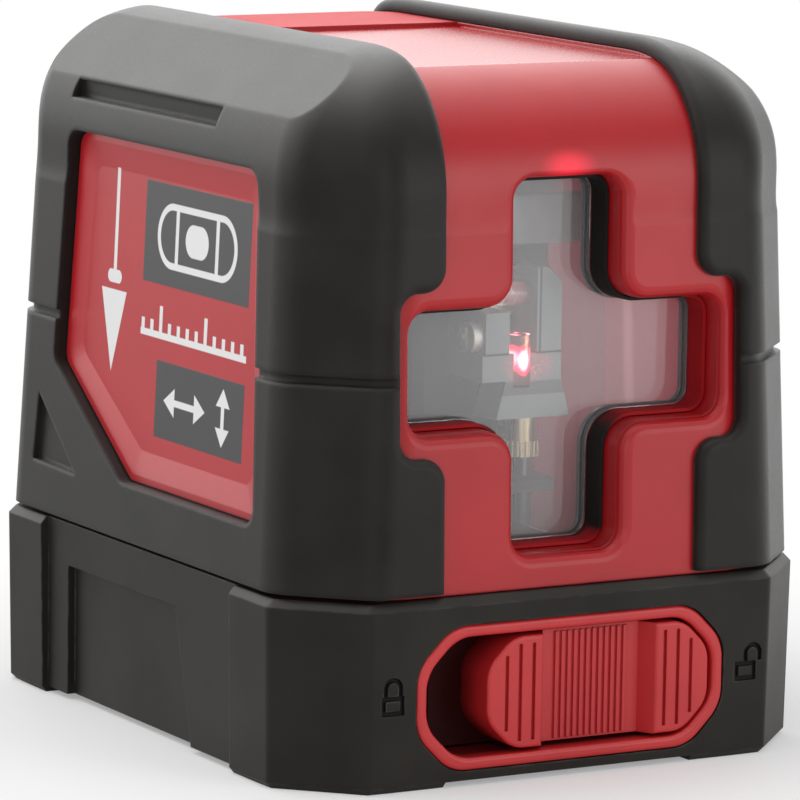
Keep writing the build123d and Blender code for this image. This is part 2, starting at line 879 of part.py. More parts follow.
with BuildPart() as inner_deck:
    plan = octagon_sketch(
        Plane.XY.offset(deck_bottom),
        cavity_half_width - deck_gap,
        deck_gap - cavity_half_depth,
        cavity_half_depth - deck_gap,
        cavity_cut,
    )
    extrude(plan, amount=deck_thickness)
    for x, y in board_corners:
        rod((x, y, deck_bottom), (x, y, board_low), standoff_radius)
        rod((x, y, base_height), (x, y, board_low), small_screw_radius + small_hole_gap, mode=Mode.SUBTRACT)
    for x, y in corners:
        rod((x, y, deck_bottom), (x, y, base_height), screw_hole, mode=Mode.SUBTRACT)
    for x, y in yoke_places + bracket_places:
        rod((x, y, deck_bottom), (x, y, base_height), small_screw_radius + small_hole_gap, mode=Mode.SUBTRACT)
    for x in (-brake_post_x, brake_post_x):
        post_seat = brake_post_radius + pin_hold
        rod((x, pivot_y, deck_bottom), (x, pivot_y, base_height), post_seat, mode=Mode.SUBTRACT)
    block(
        (tongue_left - slider_travel - neck_slot_gap, tongue_right + neck_slot_gap),
        (neck_front - neck_slot_gap, neck_rear + neck_slot_gap),
        (deck_bottom, base_height),
        mode=Mode.SUBTRACT,
    )
save(inner_deck.part, "inner_deck")

# Lock switch in the base's front
with BuildPart() as switch_bezel:
    outline = front_octagon(
        bezel_rear, -bezel_half_width, bezel_half_width, bezel_low, bezel_high, bezel_cut, bezel_round
    )
    extrude(outline, amount=bezel_front - bezel_rear)
    inner_half_width = bezel_half_width - bezel_rim
    inner_cut = bezel_cut - bezel_rim * math.tan(math.radians(half_corner))
    way = front_octagon(
        bezel_rear,
        -inner_half_width,
        inner_half_width,
        bezel_low + bezel_rim,
        bezel_high - bezel_rim,
        inner_cut,
        bezel_round - bezel_edge,
    )
    extrude(way, amount=bezel_front - bezel_rear, mode=Mode.SUBTRACT)
    fillet(switch_bezel.faces().sort_by(Axis.Y)[0].edges(), bezel_edge)
save(switch_bezel.part, "switch_bezel")

saddle_left = slider_left + grip_pad_width
saddle_right = slider_right - grip_pad_width
saddle_front = saddle_depth - slider_front
slider_screw_places = (slider_left + grip_pad_width / 2, slider_right - grip_pad_width / 2)
slider_middle = (slider_low + slider_high) / 2
slider_screw_end = -slider_front + saddle_depth

with BuildPart() as lock_slider:
    outline = front_octagon(
        slider_rear, slider_left, slider_right, slider_low, slider_high, slider_cut, slider_round
    )
    extrude(outline, amount=slider_front - slider_rear)
    with BuildSketch(Plane.XY) as saddle:
        with BuildLine():
            Polyline(
                (saddle_left, -deep),
                (saddle_left, -slider_front),
                (saddle_left + pad_slope, saddle_front),
                (saddle_right - pad_slope, saddle_front),
                (saddle_right, -slider_front),
                (saddle_right, -deep),
                close=True,
            )
        make_face()
    extrude(amount=base_height, mode=Mode.SUBTRACT)
    for pad in lock_slider.faces().sort_by(Axis.Y)[:2]:
        fillet(pad.edges(), pad_edge)
    for pad_end, outwards in ((saddle_left, -1), (saddle_right, 1)):
        for place, margin in zip(pad_groove_places, pad_groove_margins):
            x = pad_end + outwards * place
            groove_width = (x - pad_groove_width / 2, x + pad_groove_width / 2)
            groove_span = (slider_low + margin, slider_high - margin)
            block(groove_width, (-deep, pad_groove_depth - slider_front), groove_span, mode=Mode.SUBTRACT)
    for step in range(rib_count):
        x = (saddle_left + saddle_right) / 2 + (step - (rib_count - 1) / 2) * rib_pitch
        rib_depth = (saddle_front - rib_height, saddle_front + rib_height)
        rib_span = (slider_low + rib_height, slider_high - rib_height)
        block((x - rib_width / 2, x + rib_width / 2), rib_depth, rib_span)
    for x in slider_screw_places:
        start = (x, -slider_rear, slider_middle)
        end = (x, slider_screw_end, slider_middle)
        rod(start, end, small_screw_radius + small_hole_gap, mode=Mode.SUBTRACT)
save(lock_slider.part, "lock_slider")

with BuildPart() as slider_carriage:
    block((carriage_left, carriage_right), (-carriage_front, -carriage_rear), (carriage_low, carriage_high))
    block((tongue_left, tongue_right), (-carriage_front, neck_rear), (shelf_low, carriage_high))
    block((tongue_left, tongue_right), (neck_front, neck_rear), (shelf_low, tongue_high))
    block((tongue_left, tongue_right), (neck_front, tongue_rear), (tongue_low, tongue_high))
    with BuildSketch(front_plane(ramp_half_depth - pivot_y)) as ramp:
        with BuildLine():
            Polyline(
                (ramp_left, tongue_low),
                (ramp_right, tongue_low),
                (ramp_right, ramp_rest + ramp_right * ramp_slope),
                (ramp_left, ramp_rest + ramp_left * ramp_slope),
                close=True,
            )
        make_face()
    extrude(amount=-2 * ramp_half_depth)
    block(
        (knob_left - knob_gap, knob_right + knob_gap),
        (neck_front, neck_rear),
        (knob_low - knob_gap, knob_high + knob_gap),
        mode=Mode.SUBTRACT,
    )
    for x in slider_screw_places:
        start = (x, -carriage_front, slider_middle)
        end = (x, -carriage_rear, slider_middle)
        rod(start, end, small_screw_radius + small_hole_gap, mode=Mode.SUBTRACT)
save(slider_carriage.part, "slider_carriage")

with BuildPart() as carriage_screws:
    for x in slider_screw_places:
        seat = (x, -carriage_rear, slider_middle)
        end = (x, slider_screw_end + small_hole_gap, slider_middle)
        pan_screw(seat, end, small_head_radius, small_screw_radius, small_head_height)
save(carriage_screws.part, "carriage_screws")

with BuildPart() as power_switch:
    block((-switch_half_width, switch_half_width), (switch_front, switch_rear), (switch_low, deck_bottom))
    block(
        (knob_left - slider_travel - knob_gap, knob_right + knob_gap),
        (switch_front, knob_rear + knob_gap),
        (knob_low - knob_gap, knob_high + knob_gap),
        mode=Mode.SUBTRACT,
    )
    for step in (-1, 0, 1):
        x = step * terminal_pitch
        y = (switch_front + switch_rear) / 2
        rod((x, y, switch_low), (x, y, switch_low - terminal_length), terminal_radius)
save(power_switch.part, "power_switch")

with BuildPart() as switch_knob:
    block((knob_left, knob_right), (knob_front, knob_rear), (knob_low, knob_high))
save(switch_knob.part, "switch_knob")

# Battery door, cells and contacts
door_back = door_axis_y - door_round
with BuildPart() as battery_door:
    door_width = (-door_half_width, door_half_width)
    rod((-door_half_width, door_axis_y, door_axis_z), (door_half_width, door_axis_y, door_axis_z), door_round)
    block(door_width, (door_back, door_axis_y + door_round), (door_axis_z, door_high))
    outer_top = battery_door.faces().sort_by(Axis.Z)[-1].edges().sort_by(Axis.Y)[-1]
    chamfer(outer_top, door_edge)
    grip_width = (-door_grip_half_width, door_grip_half_width)
    grip_depth_range = (door_axis_y + door_round - door_grip_depth, deep)
    block(grip_width, grip_depth_range, (door_grip_low, door_grip_high), mode=Mode.SUBTRACT)
    latch_depth = (door_back - latch_thickness, door_back)
    block((-latch_half_width, latch_half_width), latch_depth, (latch_low, latch_high))
    rod(
        (-deep, door_axis_y, door_axis_z),
        (deep, door_axis_y, door_axis_z),
        door_pin_radius + door_pin_gap,
        mode=Mode.SUBTRACT,
    )
save(battery_door.part, "battery_door")

with BuildPart() as door_hinge_pin:
    pin_start = (-door_pin_half_length, door_axis_y, door_axis_z)
    pin_stop = (door_pin_half_length, door_axis_y, door_axis_z)
    rod(pin_start, pin_stop, door_pin_radius)
save(door_hinge_pin.part, "door_hinge_pin")

with BuildPart() as door_contact_strip:
    strip_front = door_back - contact_thickness
    block((-strip_half_width, strip_half_width), (strip_front, door_back), (strip_low, strip_high))
    rod((-cell_x, strip_front, cell_z), (-cell_x, cell_rear + nub_length + contact_gap, cell_z), contact_bump)
    rod((cell_x, strip_front, cell_z), (cell_x, cell_rear + contact_gap, cell_z), contact_bump)
save(door_contact_strip.part, "door_contact_strip")


def dry_cell(across, front, rear):
    """A round cell between two ends with rounded shoulders."""
    with BuildPart() as can:
        rod((across, front, cell_z), (across, rear, cell_z), cell_radius)
        fillet(can.edges().filter_by(GeomType.CIRCLE), cell_edge)
    return can.part


with BuildPart() as left_cell:
    add(dry_cell(-cell_x, cell_front, cell_rear))
    rod((-cell_x, cell_rear, cell_z), (-cell_x, cell_rear + nub_length, cell_z), nub_radius)
save(left_cell.part, "left_cell")

with BuildPart() as right_cell:
    add(dry_cell(cell_x, cell_front, cell_rear))
    rod((cell_x, cell_front, cell_z), (cell_x, cell_front - nub_length, cell_z), nub_radius)
save(right_cell.part, "right_cell")

with BuildPart() as battery_contacts:
    for x, reach in ((-cell_x, cell_front), (cell_x, cell_front - nub_length)):
        plate_depth = (bulkhead_rear, bulkhead_rear + contact_thickness)
        block((x - contact_half_width, x + contact_half_width), plate_depth, (contact_low, contact_high))
        rod((x, bulkhead_rear, cell_z), (x, reach - contact_gap, cell_z), contact_bump)
save(battery_contacts.part, "battery_contacts")

# Gimbal that carries the pendulum
pivot = Vector(0, pivot_y, pivot_z)
bearing_seat = (yoke_inner + yoke_outer - bearing_width) / 2
ring_seat = ring_half_y - (ring_wall + bearing_width) / 2


def ball_bearing(start, along):
    """A small bearing with a groove between its rings on both faces."""
    groove_middle = (bearing_outer + bearing_bore) / 2
    end = start + along * bearing_width
    rod(tuple(start), tuple(end), bearing_outer)
    rod(tuple(start), tuple(end), bearing_bore, mode=Mode.SUBTRACT)
    for face, inward in ((start, along), (end, along * -1)):
        with BuildSketch(Plane(origin=face, z_dir=inward), mode=Mode.PRIVATE) as groove:
            Circle(groove_middle + bearing_groove)
            Circle(groove_middle - bearing_groove, mode=Mode.SUBTRACT)
        extrude(groove.sketch, amount=bearing_groove, mode=Mode.SUBTRACT)


with BuildPart() as gimbal_yoke:
    for side in (-1, 1):
        upright = sorted((side * yoke_inner, side * yoke_outer))
        foot = sorted((side * yoke_inner, side * yoke_foot_outer))
        block(upright, (yoke_front, yoke_rear), (base_height, bridge_top))
        block(foot, (yoke_front, yoke_rear), (base_height, base_height + yoke_foot_height))
        block(upright, (panel_front, yoke_front), (panel_low, panel_high))
    block((-yoke_outer, yoke_outer), (yoke_front, yoke_rear), (yoke_top, bridge_top))
    block((-yoke_outer, yoke_outer), (panel_front, panel_rear), (panel_low, panel_high))
    rod((-deep, pivot_y, pivot_z), (deep, pivot_y, pivot_z), bearing_outer + pin_hold, mode=Mode.SUBTRACT)
    for x, y in yoke_places:
        foot_top = base_height + yoke_foot_height
        rod((x, y, base_height), (x, y, foot_top), small_screw_radius + small_hole_gap, mode=Mode.SUBTRACT)
save(gimbal_yoke.part, "gimbal_yoke")

with BuildPart() as yoke_screws:
    for x, y in yoke_places:
        seat = (x, y, base_height + yoke_foot_height)
        pan_screw(seat, (x, y, deck_bottom), small_head_radius, small_screw_radius, small_head_height)
save(yoke_screws.part, "yoke_screws")

with BuildPart() as pitch_bearings:
    for side in (-1, 1):
        outward = Vector(side, 0, 0)
        ball_bearing(pivot + outward * bearing_seat, outward)
save(pitch_bearings.part, "pitch_bearings")

with BuildPart() as gimbal_ring:
    with BuildSketch(Plane(origin=pivot - Vector(0, 0, ring_half_height))) as ring_plan:
        RectangleRounded(2 * ring_half_x, 2 * ring_half_y, ring_wall)
        Rectangle(2 * (ring_half_x - ring_wall), 2 * (ring_half_y - ring_wall), mode=Mode.SUBTRACT)
    extrude(amount=2 * ring_half_height)
    rod((-deep, pivot_y, pivot_z), (deep, pivot_y, pivot_z), pin_radius + pin_hold, mode=Mode.SUBTRACT)
    rod((0, -deep, pivot_z), (0, deep, pivot_z), bearing_outer + pin_hold, mode=Mode.SUBTRACT)
save(gimbal_ring.part, "gimbal_ring")

with BuildPart() as pitch_pins:
    for side in (-1, 1):
        pin_start = (side * (ring_half_x - ring_wall), pivot_y, pivot_z)
        rod(pin_start, (side * pin_end, pivot_y, pivot_z), pin_radius)
save(pitch_pins.part, "pitch_pins")

with BuildPart() as roll_bearings:
    for side in (-1, 1):
        outward = Vector(0, side, 0)
        ball_bearing(pivot + outward * ring_seat, outward)
save(roll_bearings.part, "roll_bearings")

with BuildPart() as roll_pin:
    rod((0, pivot_y - roll_pin_end, pivot_z), (0, pivot_y + roll_pin_end, pivot_z), pin_radius)
save(roll_pin.part, "roll_pin")

# Pendulum with its lasers, lenses and weights
with BuildPart() as pendulum_body:
    block((-block_half_width, block_half_width), (block_front, block_rear), (block_low, block_high))
    chamfer(pendulum_body.edges().filter_by(Axis.Z), block_edge)
    neck_depth = (pivot_y - neck_half_depth, pivot_y + neck_half_depth)
    block((-neck_half_width, neck_half_width), neck_depth, (block_high, neck_top))
    block((-stem_half_width, stem_half_width), (stem_front, block_rear), (damper_high, block_low))
    rod((0, -deep, pivot_z), (0, deep, pivot_z), pin_radius + pin_hold, mode=Mode.SUBTRACT)
    for height in (lower_beam, upper_beam):
        barrel_seat = barrel_radius + barrel_hold
        rod((0, block_front, height), (0, barrel_rear, height), barrel_seat, mode=Mode.SUBTRACT)
save(pendulum_body.part, "pendulum_body")


def laser_barrel(height):
    """A laser's brass barrel with its opening in front."""
    rod((0, barrel_front, height), (0, barrel_rear, height), barrel_radius)
    bore_stop = (0, barrel_front + barrel_bore_depth, height)
    rod((0, barrel_front, height), bore_stop, barrel_bore, mode=Mode.SUBTRACT)


with BuildPart() as horizontal_laser_barrel:
    laser_barrel(lower_beam)
save(horizontal_laser_barrel.part, "horizontal_laser_barrel")

with BuildPart() as vertical_laser_barrel:
    laser_barrel(upper_beam)
save(vertical_laser_barrel.part, "vertical_laser_barrel")

with BuildPart() as lens_holder:
    holder_depth = (holder_front, holder_rear)
    block((-crossbar_half_width, crossbar_half_width), holder_depth, (crossbar_low, crossbar_high))
    block((left_box_outer, left_box_inner), holder_depth, (crossbar_low, left_box_high))
    block((right_post_inner, right_post_outer), holder_depth, (crossbar_low, right_post_high))
    post_tip = lens_holder.faces().sort_by(Axis.Z)[-1].edges().sort_by(Axis.X)[-1]
    chamfer(post_tip, post_bevel)
    lug_depth = (holder_rear, block_front)
    block((left_box_outer, -barrel_radius - lug_gap), lug_depth, (crossbar_low, left_box_high))
    block((barrel_radius + lug_gap, right_post_outer), lug_depth, (crossbar_low, left_box_high))
    with BuildSketch(front_plane(-holder_rear)) as flare:
        with BuildLine():
            Polyline(
                (flare_left, flare_low),
                (flare_right, flare_low),
                (flare_right - flare_neck, crossbar_low),
                (flare_left + flare_neck, crossbar_low),
                close=True,
            )
        make_face()
    extrude(amount=holder_rear - holder_front)
    lens_bore = lens_radius + lens_hold
    rod((0, lens_y, lower_lens_low), (0, lens_y, lower_lens_high), lens_bore, mode=Mode.SUBTRACT)
    rod((0, lens_y, lower_beam), (0, holder_rear, lower_beam), barrel_bore, mode=Mode.SUBTRACT)
    upper_start = (-upper_lens_half_length, upper_lens_y, upper_beam)
    upper_stop = (upper_lens_half_length, upper_lens_y, upper_beam)
    rod(upper_start, upper_stop, lens_bore, mode=Mode.SUBTRACT)
    balance_bore_end = (balance_x, balance_y, flare_low + balance_grip)
    rod((balance_x, balance_y, flare_low), balance_bore_end, balance_radius + lens_hold, mode=Mode.SUBTRACT)
    screw_start = (left_box_outer, holder_screw_y, holder_screw_z)
    screw_stop = (left_box_outer + small_screw_grip, holder_screw_y, holder_screw_z)
    rod(screw_start, screw_stop, small_screw_radius + small_hole_gap, mode=Mode.SUBTRACT)
save(lens_holder.part, "lens_holder")

with BuildPart() as holder_screw:
    pan_screw(screw_start, screw_stop, holder_screw_radius, small_screw_radius, holder_screw_head)
save(holder_screw.part, "holder_screw")

with BuildPart() as horizontal_line_lens:
    rod((0, lens_y, lower_lens_low), (0, lens_y, lower_lens_high), lens_radius)
save(horizontal_line_lens.part, "horizontal_line_lens")

with BuildPart() as vertical_line_lens:
    rod(upper_start, upper_stop, lens_radius)
save(vertical_line_lens.part, "vertical_line_lens")

with BuildPart() as balance_screw:
    rod((balance_x, balance_y, balance_ring_top), balance_bore_end, balance_radius)
    rod((balance_x, balance_y, balance_low), (balance_x, balance_y, balance_ring_top), balance_ring_radius)
    for step in range(knurl_count):
        turn = 2 * math.pi * step / knurl_count
        x = balance_x + balance_ring_radius * math.cos(turn)
        y = balance_y + balance_ring_radius * math.sin(turn)
        rod((x, y, balance_low), (x, y, balance_ring_top), knurl_radius, mode=Mode.SUBTRACT)
save(balance_screw.part, "balance_screw")

with BuildPart() as counterweight:
    block((-weight_half_width, weight_half_width), (block_rear, weight_rear), (weight_low, weight_high))
    chamfer(counterweight.faces().sort_by(Axis.Y)[-1].edges(), block_edge)
save(counterweight.part, "counterweight")

with BuildPart() as damper_plate:
    block((-damper_half_width, damper_half_width), (damper_front, damper_rear), (damper_low, damper_high))
    fillet(damper_plate.edges().filter_by(Axis.Z), block_edge)
save(damper_plate.part, "damper_plate")

# Magnets over and under the damper plate
with BuildPart() as magnet_bracket:
    bracket_width = (-magnet_half_width - bracket_wall, magnet_half_width + bracket_wall)
    shelf_bottom = magnet_low_top - magnet_thickness
    roof_bottom = magnet_high_bottom + magnet_thickness
    block(bracket_width, (magnet_front, bracket_rear), (shelf_bottom - bracket_wall, shelf_bottom))
    block(bracket_width, (magnet_front, bracket_rear), (roof_bottom, roof_bottom + bracket_wall))
    block(bracket_width, (bracket_rear - bracket_wall, bracket_rear), (base_height, roof_bottom))
    block(bracket_width, (magnet_front, magnet_front + bracket_wall), (base_height, shelf_bottom))
    block(
        (-bracket_flange_width, bracket_flange_width),
        (bracket_flange_front, bracket_flange_rear),
        (base_height, base_height + bracket_wall),
    )
    block(bracket_width, (magnet_front, bracket_rear), (base_height, base_height + bracket_wall))
    for x, y in bracket_places:
        flange_top = base_height + bracket_wall
        rod((x, y, base_height), (x, y, flange_top), small_screw_radius + small_hole_gap, mode=Mode.SUBTRACT)
save(magnet_bracket.part, "magnet_bracket")

with BuildPart() as bracket_screws:
    for x, y in bracket_places:
        seat = (x, y, base_height + bracket_wall)
        pan_screw(seat, (x, y, deck_bottom), small_head_radius, small_screw_radius, small_head_height)
save(bracket_screws.part, "bracket_screws")

with BuildPart() as damper_magnets:
    magnet_width = (-magnet_half_width, magnet_half_width)
    for low in (shelf_bottom, magnet_high_bottom):
        block(magnet_width, (magnet_front, magnet_rear), (low, low + magnet_thickness))
save(damper_magnets.part, "damper_magnets")

# Brake that lifts under the pendulum when the slider is locked
with BuildPart() as brake_plate:
    with BuildSketch(Plane(origin=(0, pivot_y, brake_bottom))) as brake_plan:
        RectangleRounded(2 * brake_half_width, 2 * brake_half_depth, brake_round)
    extrude(amount=brake_top - brake_bottom)
    with BuildSketch(front_plane(ramp_half_depth - pivot_y)) as brake_foot:
        with BuildLine():
            Polyline(
                (-foot_half_width, brake_bottom),
                (-foot_half_width, ramp_rest + foot_gap - foot_half_width * ramp_slope),
                (foot_half_width, ramp_rest + foot_gap + foot_half_width * ramp_slope),
                (foot_half_width, brake_bottom),
                close=True,
            )
        make_face()
    extrude(amount=-2 * ramp_half_depth)
    for x in (-brake_post_x, brake_post_x):
        post_hole = brake_post_radius + brake_post_gap
        rod((x, pivot_y, brake_bottom), (x, pivot_y, brake_top), post_hole, mode=Mode.SUBTRACT)
save(brake_plate.part, "brake_plate")

with BuildPart() as brake_pad:
    rod((0, pivot_y, brake_top), (0, pivot_y, pad_top), pad_radius)
save(brake_pad.part, "brake_pad")

with BuildPart() as brake_posts:
    for x in (-brake_post_x, brake_post_x):
        rod((x, pivot_y, deck_bottom), (x, pivot_y, brake_post_top), brake_post_radius)
save(brake_posts.part, "brake_posts")

# Driver board on its standoffs
with BuildPart() as driver_board:
    with BuildSketch(Plane(origin=(0, (board_front + board_rear) / 2, board_low))) as board_plan:
        RectangleRounded(2 * board_half_width, board_rear - board_front, board_edge)
    extrude(amount=board_thickness)
    for x, y in board_corners:
        rod((x, y, board_low), (x, y, board_top), small_screw_radius + small_hole_gap, mode=Mode.SUBTRACT)
save(driver_board.part, "driver_board")

with BuildPart() as board_components:
    for x, y, width, depth, height in board_blocks:
        sides = ((x - width / 2, x + width / 2), (y - depth / 2, y + depth / 2))
        block(*sides, (board_top, board_top + height))
    for x, y, radius, height in board_cans:
        rod((x, y, board_top), (x, y, board_top + height), radius)
save(board_components.part, "board_components")

with BuildPart() as board_screws:
    for x, y in board_corners:
        seat = (x, y, board_top)
        end = (x, y, board_low - small_screw_grip)
        pan_screw(seat, end, small_head_radius, small_screw_radius, small_head_height)
save(board_screws.part, "board_screws")
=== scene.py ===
"""Looks of a palm-size line laser: finishes, glow, printed plates, floor, light and camera."""

import math

import bmesh
import bpy
from bpy.props import FloatProperty, FloatVectorProperty, PointerProperty
from bpy.types import Operator, Panel, PropertyGroup
from mathutils import Matrix, Vector


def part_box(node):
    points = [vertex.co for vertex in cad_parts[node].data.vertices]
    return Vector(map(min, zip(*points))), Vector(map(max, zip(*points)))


bl_info = {
    "name": "Line Laser Looks",
    "version": (1, 0, 0),
    "blender": (4, 5, 0),
    "location": "View3D > Sidebar > Line Laser",
    "description": "Dresses a self-levelling line laser and sets it on a pale studio floor",
    "category": "Object",
}

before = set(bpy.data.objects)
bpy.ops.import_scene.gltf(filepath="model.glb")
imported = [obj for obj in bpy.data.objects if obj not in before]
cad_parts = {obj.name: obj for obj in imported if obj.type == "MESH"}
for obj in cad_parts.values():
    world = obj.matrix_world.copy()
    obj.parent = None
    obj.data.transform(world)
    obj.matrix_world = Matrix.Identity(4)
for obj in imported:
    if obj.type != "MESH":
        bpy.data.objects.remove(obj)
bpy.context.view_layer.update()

MM = 0.001
BLACK = (0.0, 0.0, 0.0)
EVEN_GRAIN = (1.0, 1.0, 1.0)

# Millimetres: half the width of a printed edge, the heights of the two laser beams, the size of
# the laser's speckle, and how far the housing's inner walls stand from its middle
PRINT_EDGE = 0.05
LASER_BEAM = 40.8
UPPER_BEAM = 47.4
SPECKLE = 0.22
INNER_HALF_WIDTH = 26.2
INNER_HALF_DEPTH = 27.5


def colour(name, description, default):
    """A colour that a user would change."""
    return FloatVectorProperty(
        name=name, description=description, default=default, subtype="COLOR", size=3, min=0.0, max=1.0
    )


def length(name, description, default):
    """A size in metres that a user would change."""
    return FloatProperty(
        name=name, description=description, default=default, unit="LENGTH", precision=4
    )


def angle(name, description, degrees):
    """An angle that a user would change."""
    radians = math.radians(degrees)
    return FloatProperty(name=name, description=description, default=radians, subtype="ANGLE")


def watts(name, description, default):
    """A lamp's power that a user would change."""
    return FloatProperty(name=name, description=description, default=default, unit="POWER", min=0.0)


class FinishColours(PropertyGroup):
    """Colours of the finishes"""

    red_plastic: colour("Red plastic", "Moulded housing", (0.42, 0.010, 0.014))
    # Deep red is also the painted red light on the window seal's right end and lower sides
    deep_red: colour("Deep red", "Where the red plastic is a little denser", (0.33, 0.006, 0.010))
    switch_red: colour("Switch red", "Bezel and slider of the lock", (0.53, 0.022, 0.024))
    # Very dark: painted shade for the red moulding that lies deep behind the slider
    carriage_red_in_shade: colour("Carriage red", "Moulding behind the lock slider", (0.026, 0.0012, 0.0010))
    rubber: colour("Rubber", "Soft side covers", (0.0085, 0.0074, 0.0062))
    rubber_bloom: colour("Rubber bloom", "Pale patches of the rubber", (0.0150, 0.0136, 0.0118))
    black_plastic: colour("Black plastic", "Base and battery door", (0.0230, 0.0205, 0.0170))
    grey_plastic: colour("Grey plastic", "Lens holder, deck and brake", (0.20, 0.21, 0.21))
    die_cast: colour("Die casting", "Gimbal ring and yoke", (0.70, 0.70, 0.70))
    dark_paint: colour("Dark paint", "Painted casting of the pendulum", (0.030, 0.031, 0.034))
    steel: colour("Steel", "Screws, pins and bracket", (0.52, 0.52, 0.53))
    pale_zinc: colour("Pale zinc", "Dull plating of the lens holder's screw", (0.78, 0.72, 0.66))
    brass: colour("Brass", "Barrels, weights and inserts", (0.70, 0.55, 0.34))
    copper: colour("Copper", "Damper plate", (0.72, 0.36, 0.20))
    nickel: colour("Nickel", "Battery contacts and magnets", (0.72, 0.70, 0.66))
    label_red: colour("Label red", "Ground of the side plates", (0.46, 0.015, 0.022))
    worn_edge: colour("Worn edge", "Rubbed edges of the black mouldings", (0.16, 0.155, 0.15))
    ink_dark: colour("Dark ink", "Printed panels", (0.028, 0.027, 0.030))
    ink_white: colour("White ink", "Printed pictograms", (0.80, 0.80, 0.80))
    board_green: colour("Board green", "Solder mask", (0.012, 0.11, 0.045))
    cell_wrap: colour("Cell wrap", "Film on the cells", (0.035, 0.06, 0.10))
    cell_band: colour("Cell band", "Pale band on the cells", (0.62, 0.64, 0.66))
    laser_red: colour("Laser red", "Glow round the lit lens", (1.0, 0.02, 0.06))
    laser_core: colour("Laser core", "Middle of the lit lens", (1.0, 0.55, 0.60))
    laser_stray: colour("Stray laser light", "Light scattered in the housing", (1.0, 0.10, 0.16))


class LabelSizes(PropertyGroup):
    """Sizes of the print on the side plates"""

    foot: length("Foot", "Height of the body's lower edge, from which the print is measured", 0.0197)
    pin_stripe: length("Line", "Width of a printed line", 0.0007)
    tick_pitch: length("Tick pitch", "Distance between the ticks of the scale", 0.002)


class StageSizes(PropertyGroup):
    """Camera, floor and lamps"""

    azimuth: angle("Azimuth", "How far the camera stands to the left of the front", 29.533)
    elevation: angle("Elevation", "How far the camera looks down", 8.822)
    roll: angle("Roll", "How far the camera is tipped", 0.901)
    distance: length("Distance", "From the camera to the point it turns about", 0.5676)
    aim_height: length("Aim height", "Height of the point the camera turns about", 0.038)
    aim_across: length("Aim across", "Camera's shift to its right", 0.000509)
    aim_up: length("Aim up", "Camera's shift upwards", -0.004977)
    focal: FloatProperty(
        name="Focal length", description="Lens of the camera", default=241.3, unit="CAMERA"
    )
    floor_radius: length("Floor", "Radius of the floor", 1.5)
    shadow_radius: length("Shadow", "Radius within which the floor shows the shadow", 0.095)
    top_power: watts("Top lamp", "Soft box over and behind the object", 1.4)
    front_power: watts("Front lamp", "Soft box in front on the left", 0.55)
    right_power: watts("Right lamp", "Soft box in front on the right", 0.7)
    side_power: watts("Side lamp", "Soft box on the printed side", 0.4)


class LaserLook(PropertyGroup):
    """Everything that a user would change"""

    finishes: PointerProperty(type=FinishColours)
    label: PointerProperty(type=LabelSizes)
    stage: PointerProperty(type=StageSizes)


def look():
    """The settings of the scene at hand."""
    return bpy.context.scene.line_laser


class Wire:
    """A socket of a node tree with which sums are written as sums."""

    def __init__(self, tree, socket):
        self.tree = tree
        self.socket = socket

    def other(self, output):
        """Another output of the same node."""
        return Wire(self.tree, self.socket.node.outputs[output])

    def math(self, operation, *values):
        """A Math node on these values."""
        return add_node(self.tree, "ShaderNodeMath", {"operation": operation}, values)

    def __add__(self, value):
        return self.math("ADD", self, value)

    def __radd__(self, value):
        return self.math("ADD", value, self)

    def __sub__(self, value):
        return self.math("SUBTRACT", self, value)

    def __rsub__(self, value):
        return self.math("SUBTRACT", value, self)

    def __mul__(self, value):
        return self.math("MULTIPLY", self, value)

    def __rmul__(self, value):
        return self.math("MULTIPLY", value, self)

    def __truediv__(self, value):
        return self.math("DIVIDE", self, value)

    def __pow__(self, value):
        return self.math("POWER", self, value)

    def __abs__(self):
        return self.math("ABSOLUTE", self)

    def least(self, value):
        """The smaller of two values."""
        return self.math("MINIMUM", self, value)

    def most(self, value):
        """The larger of two values."""
        return self.math("MAXIMUM", self, value)

    def within(self, low, high):
        """The value kept between two limits."""
        return self.most(low).least(high)

    def step(self, start, end):
        """0 at the start and 1 at the end, with an even slope between them."""
        return ((self - start) / (end - start)).within(0.0, 1.0)

    def swing(self, amount):
        """What a noise adds to a mean value: half the amount at most, up or down."""
        return (self - 0.5) * amount

    def contrast(self, gain, drop):
        """A noise spread out, lowered and kept between 0 and 1."""
        return (self * gain - drop).within(0.0, 1.0)

    def off_grid(self, pitch):
        """The distance from the nearest multiple of a pitch."""
        return abs(self - self.math("ROUND", self / pitch) * pitch)


def add_node(tree, kind, settings=None, sockets=(), output=0):
    """Adds a node: its settings first, then the values or links of its sockets."""
    made = tree.nodes.new(kind)
    for name, value in (settings or {}).items():
        setattr(made, name, value)
    pairs = sockets.items() if isinstance(sockets, dict) else enumerate(sockets)
    for name, value in pairs:
        if isinstance(value, Wire):
            tree.links.new(value.socket, made.inputs[name])
        else:
            made.inputs[name].default_value = value
    return Wire(tree, made.outputs[output]) if made.outputs else None


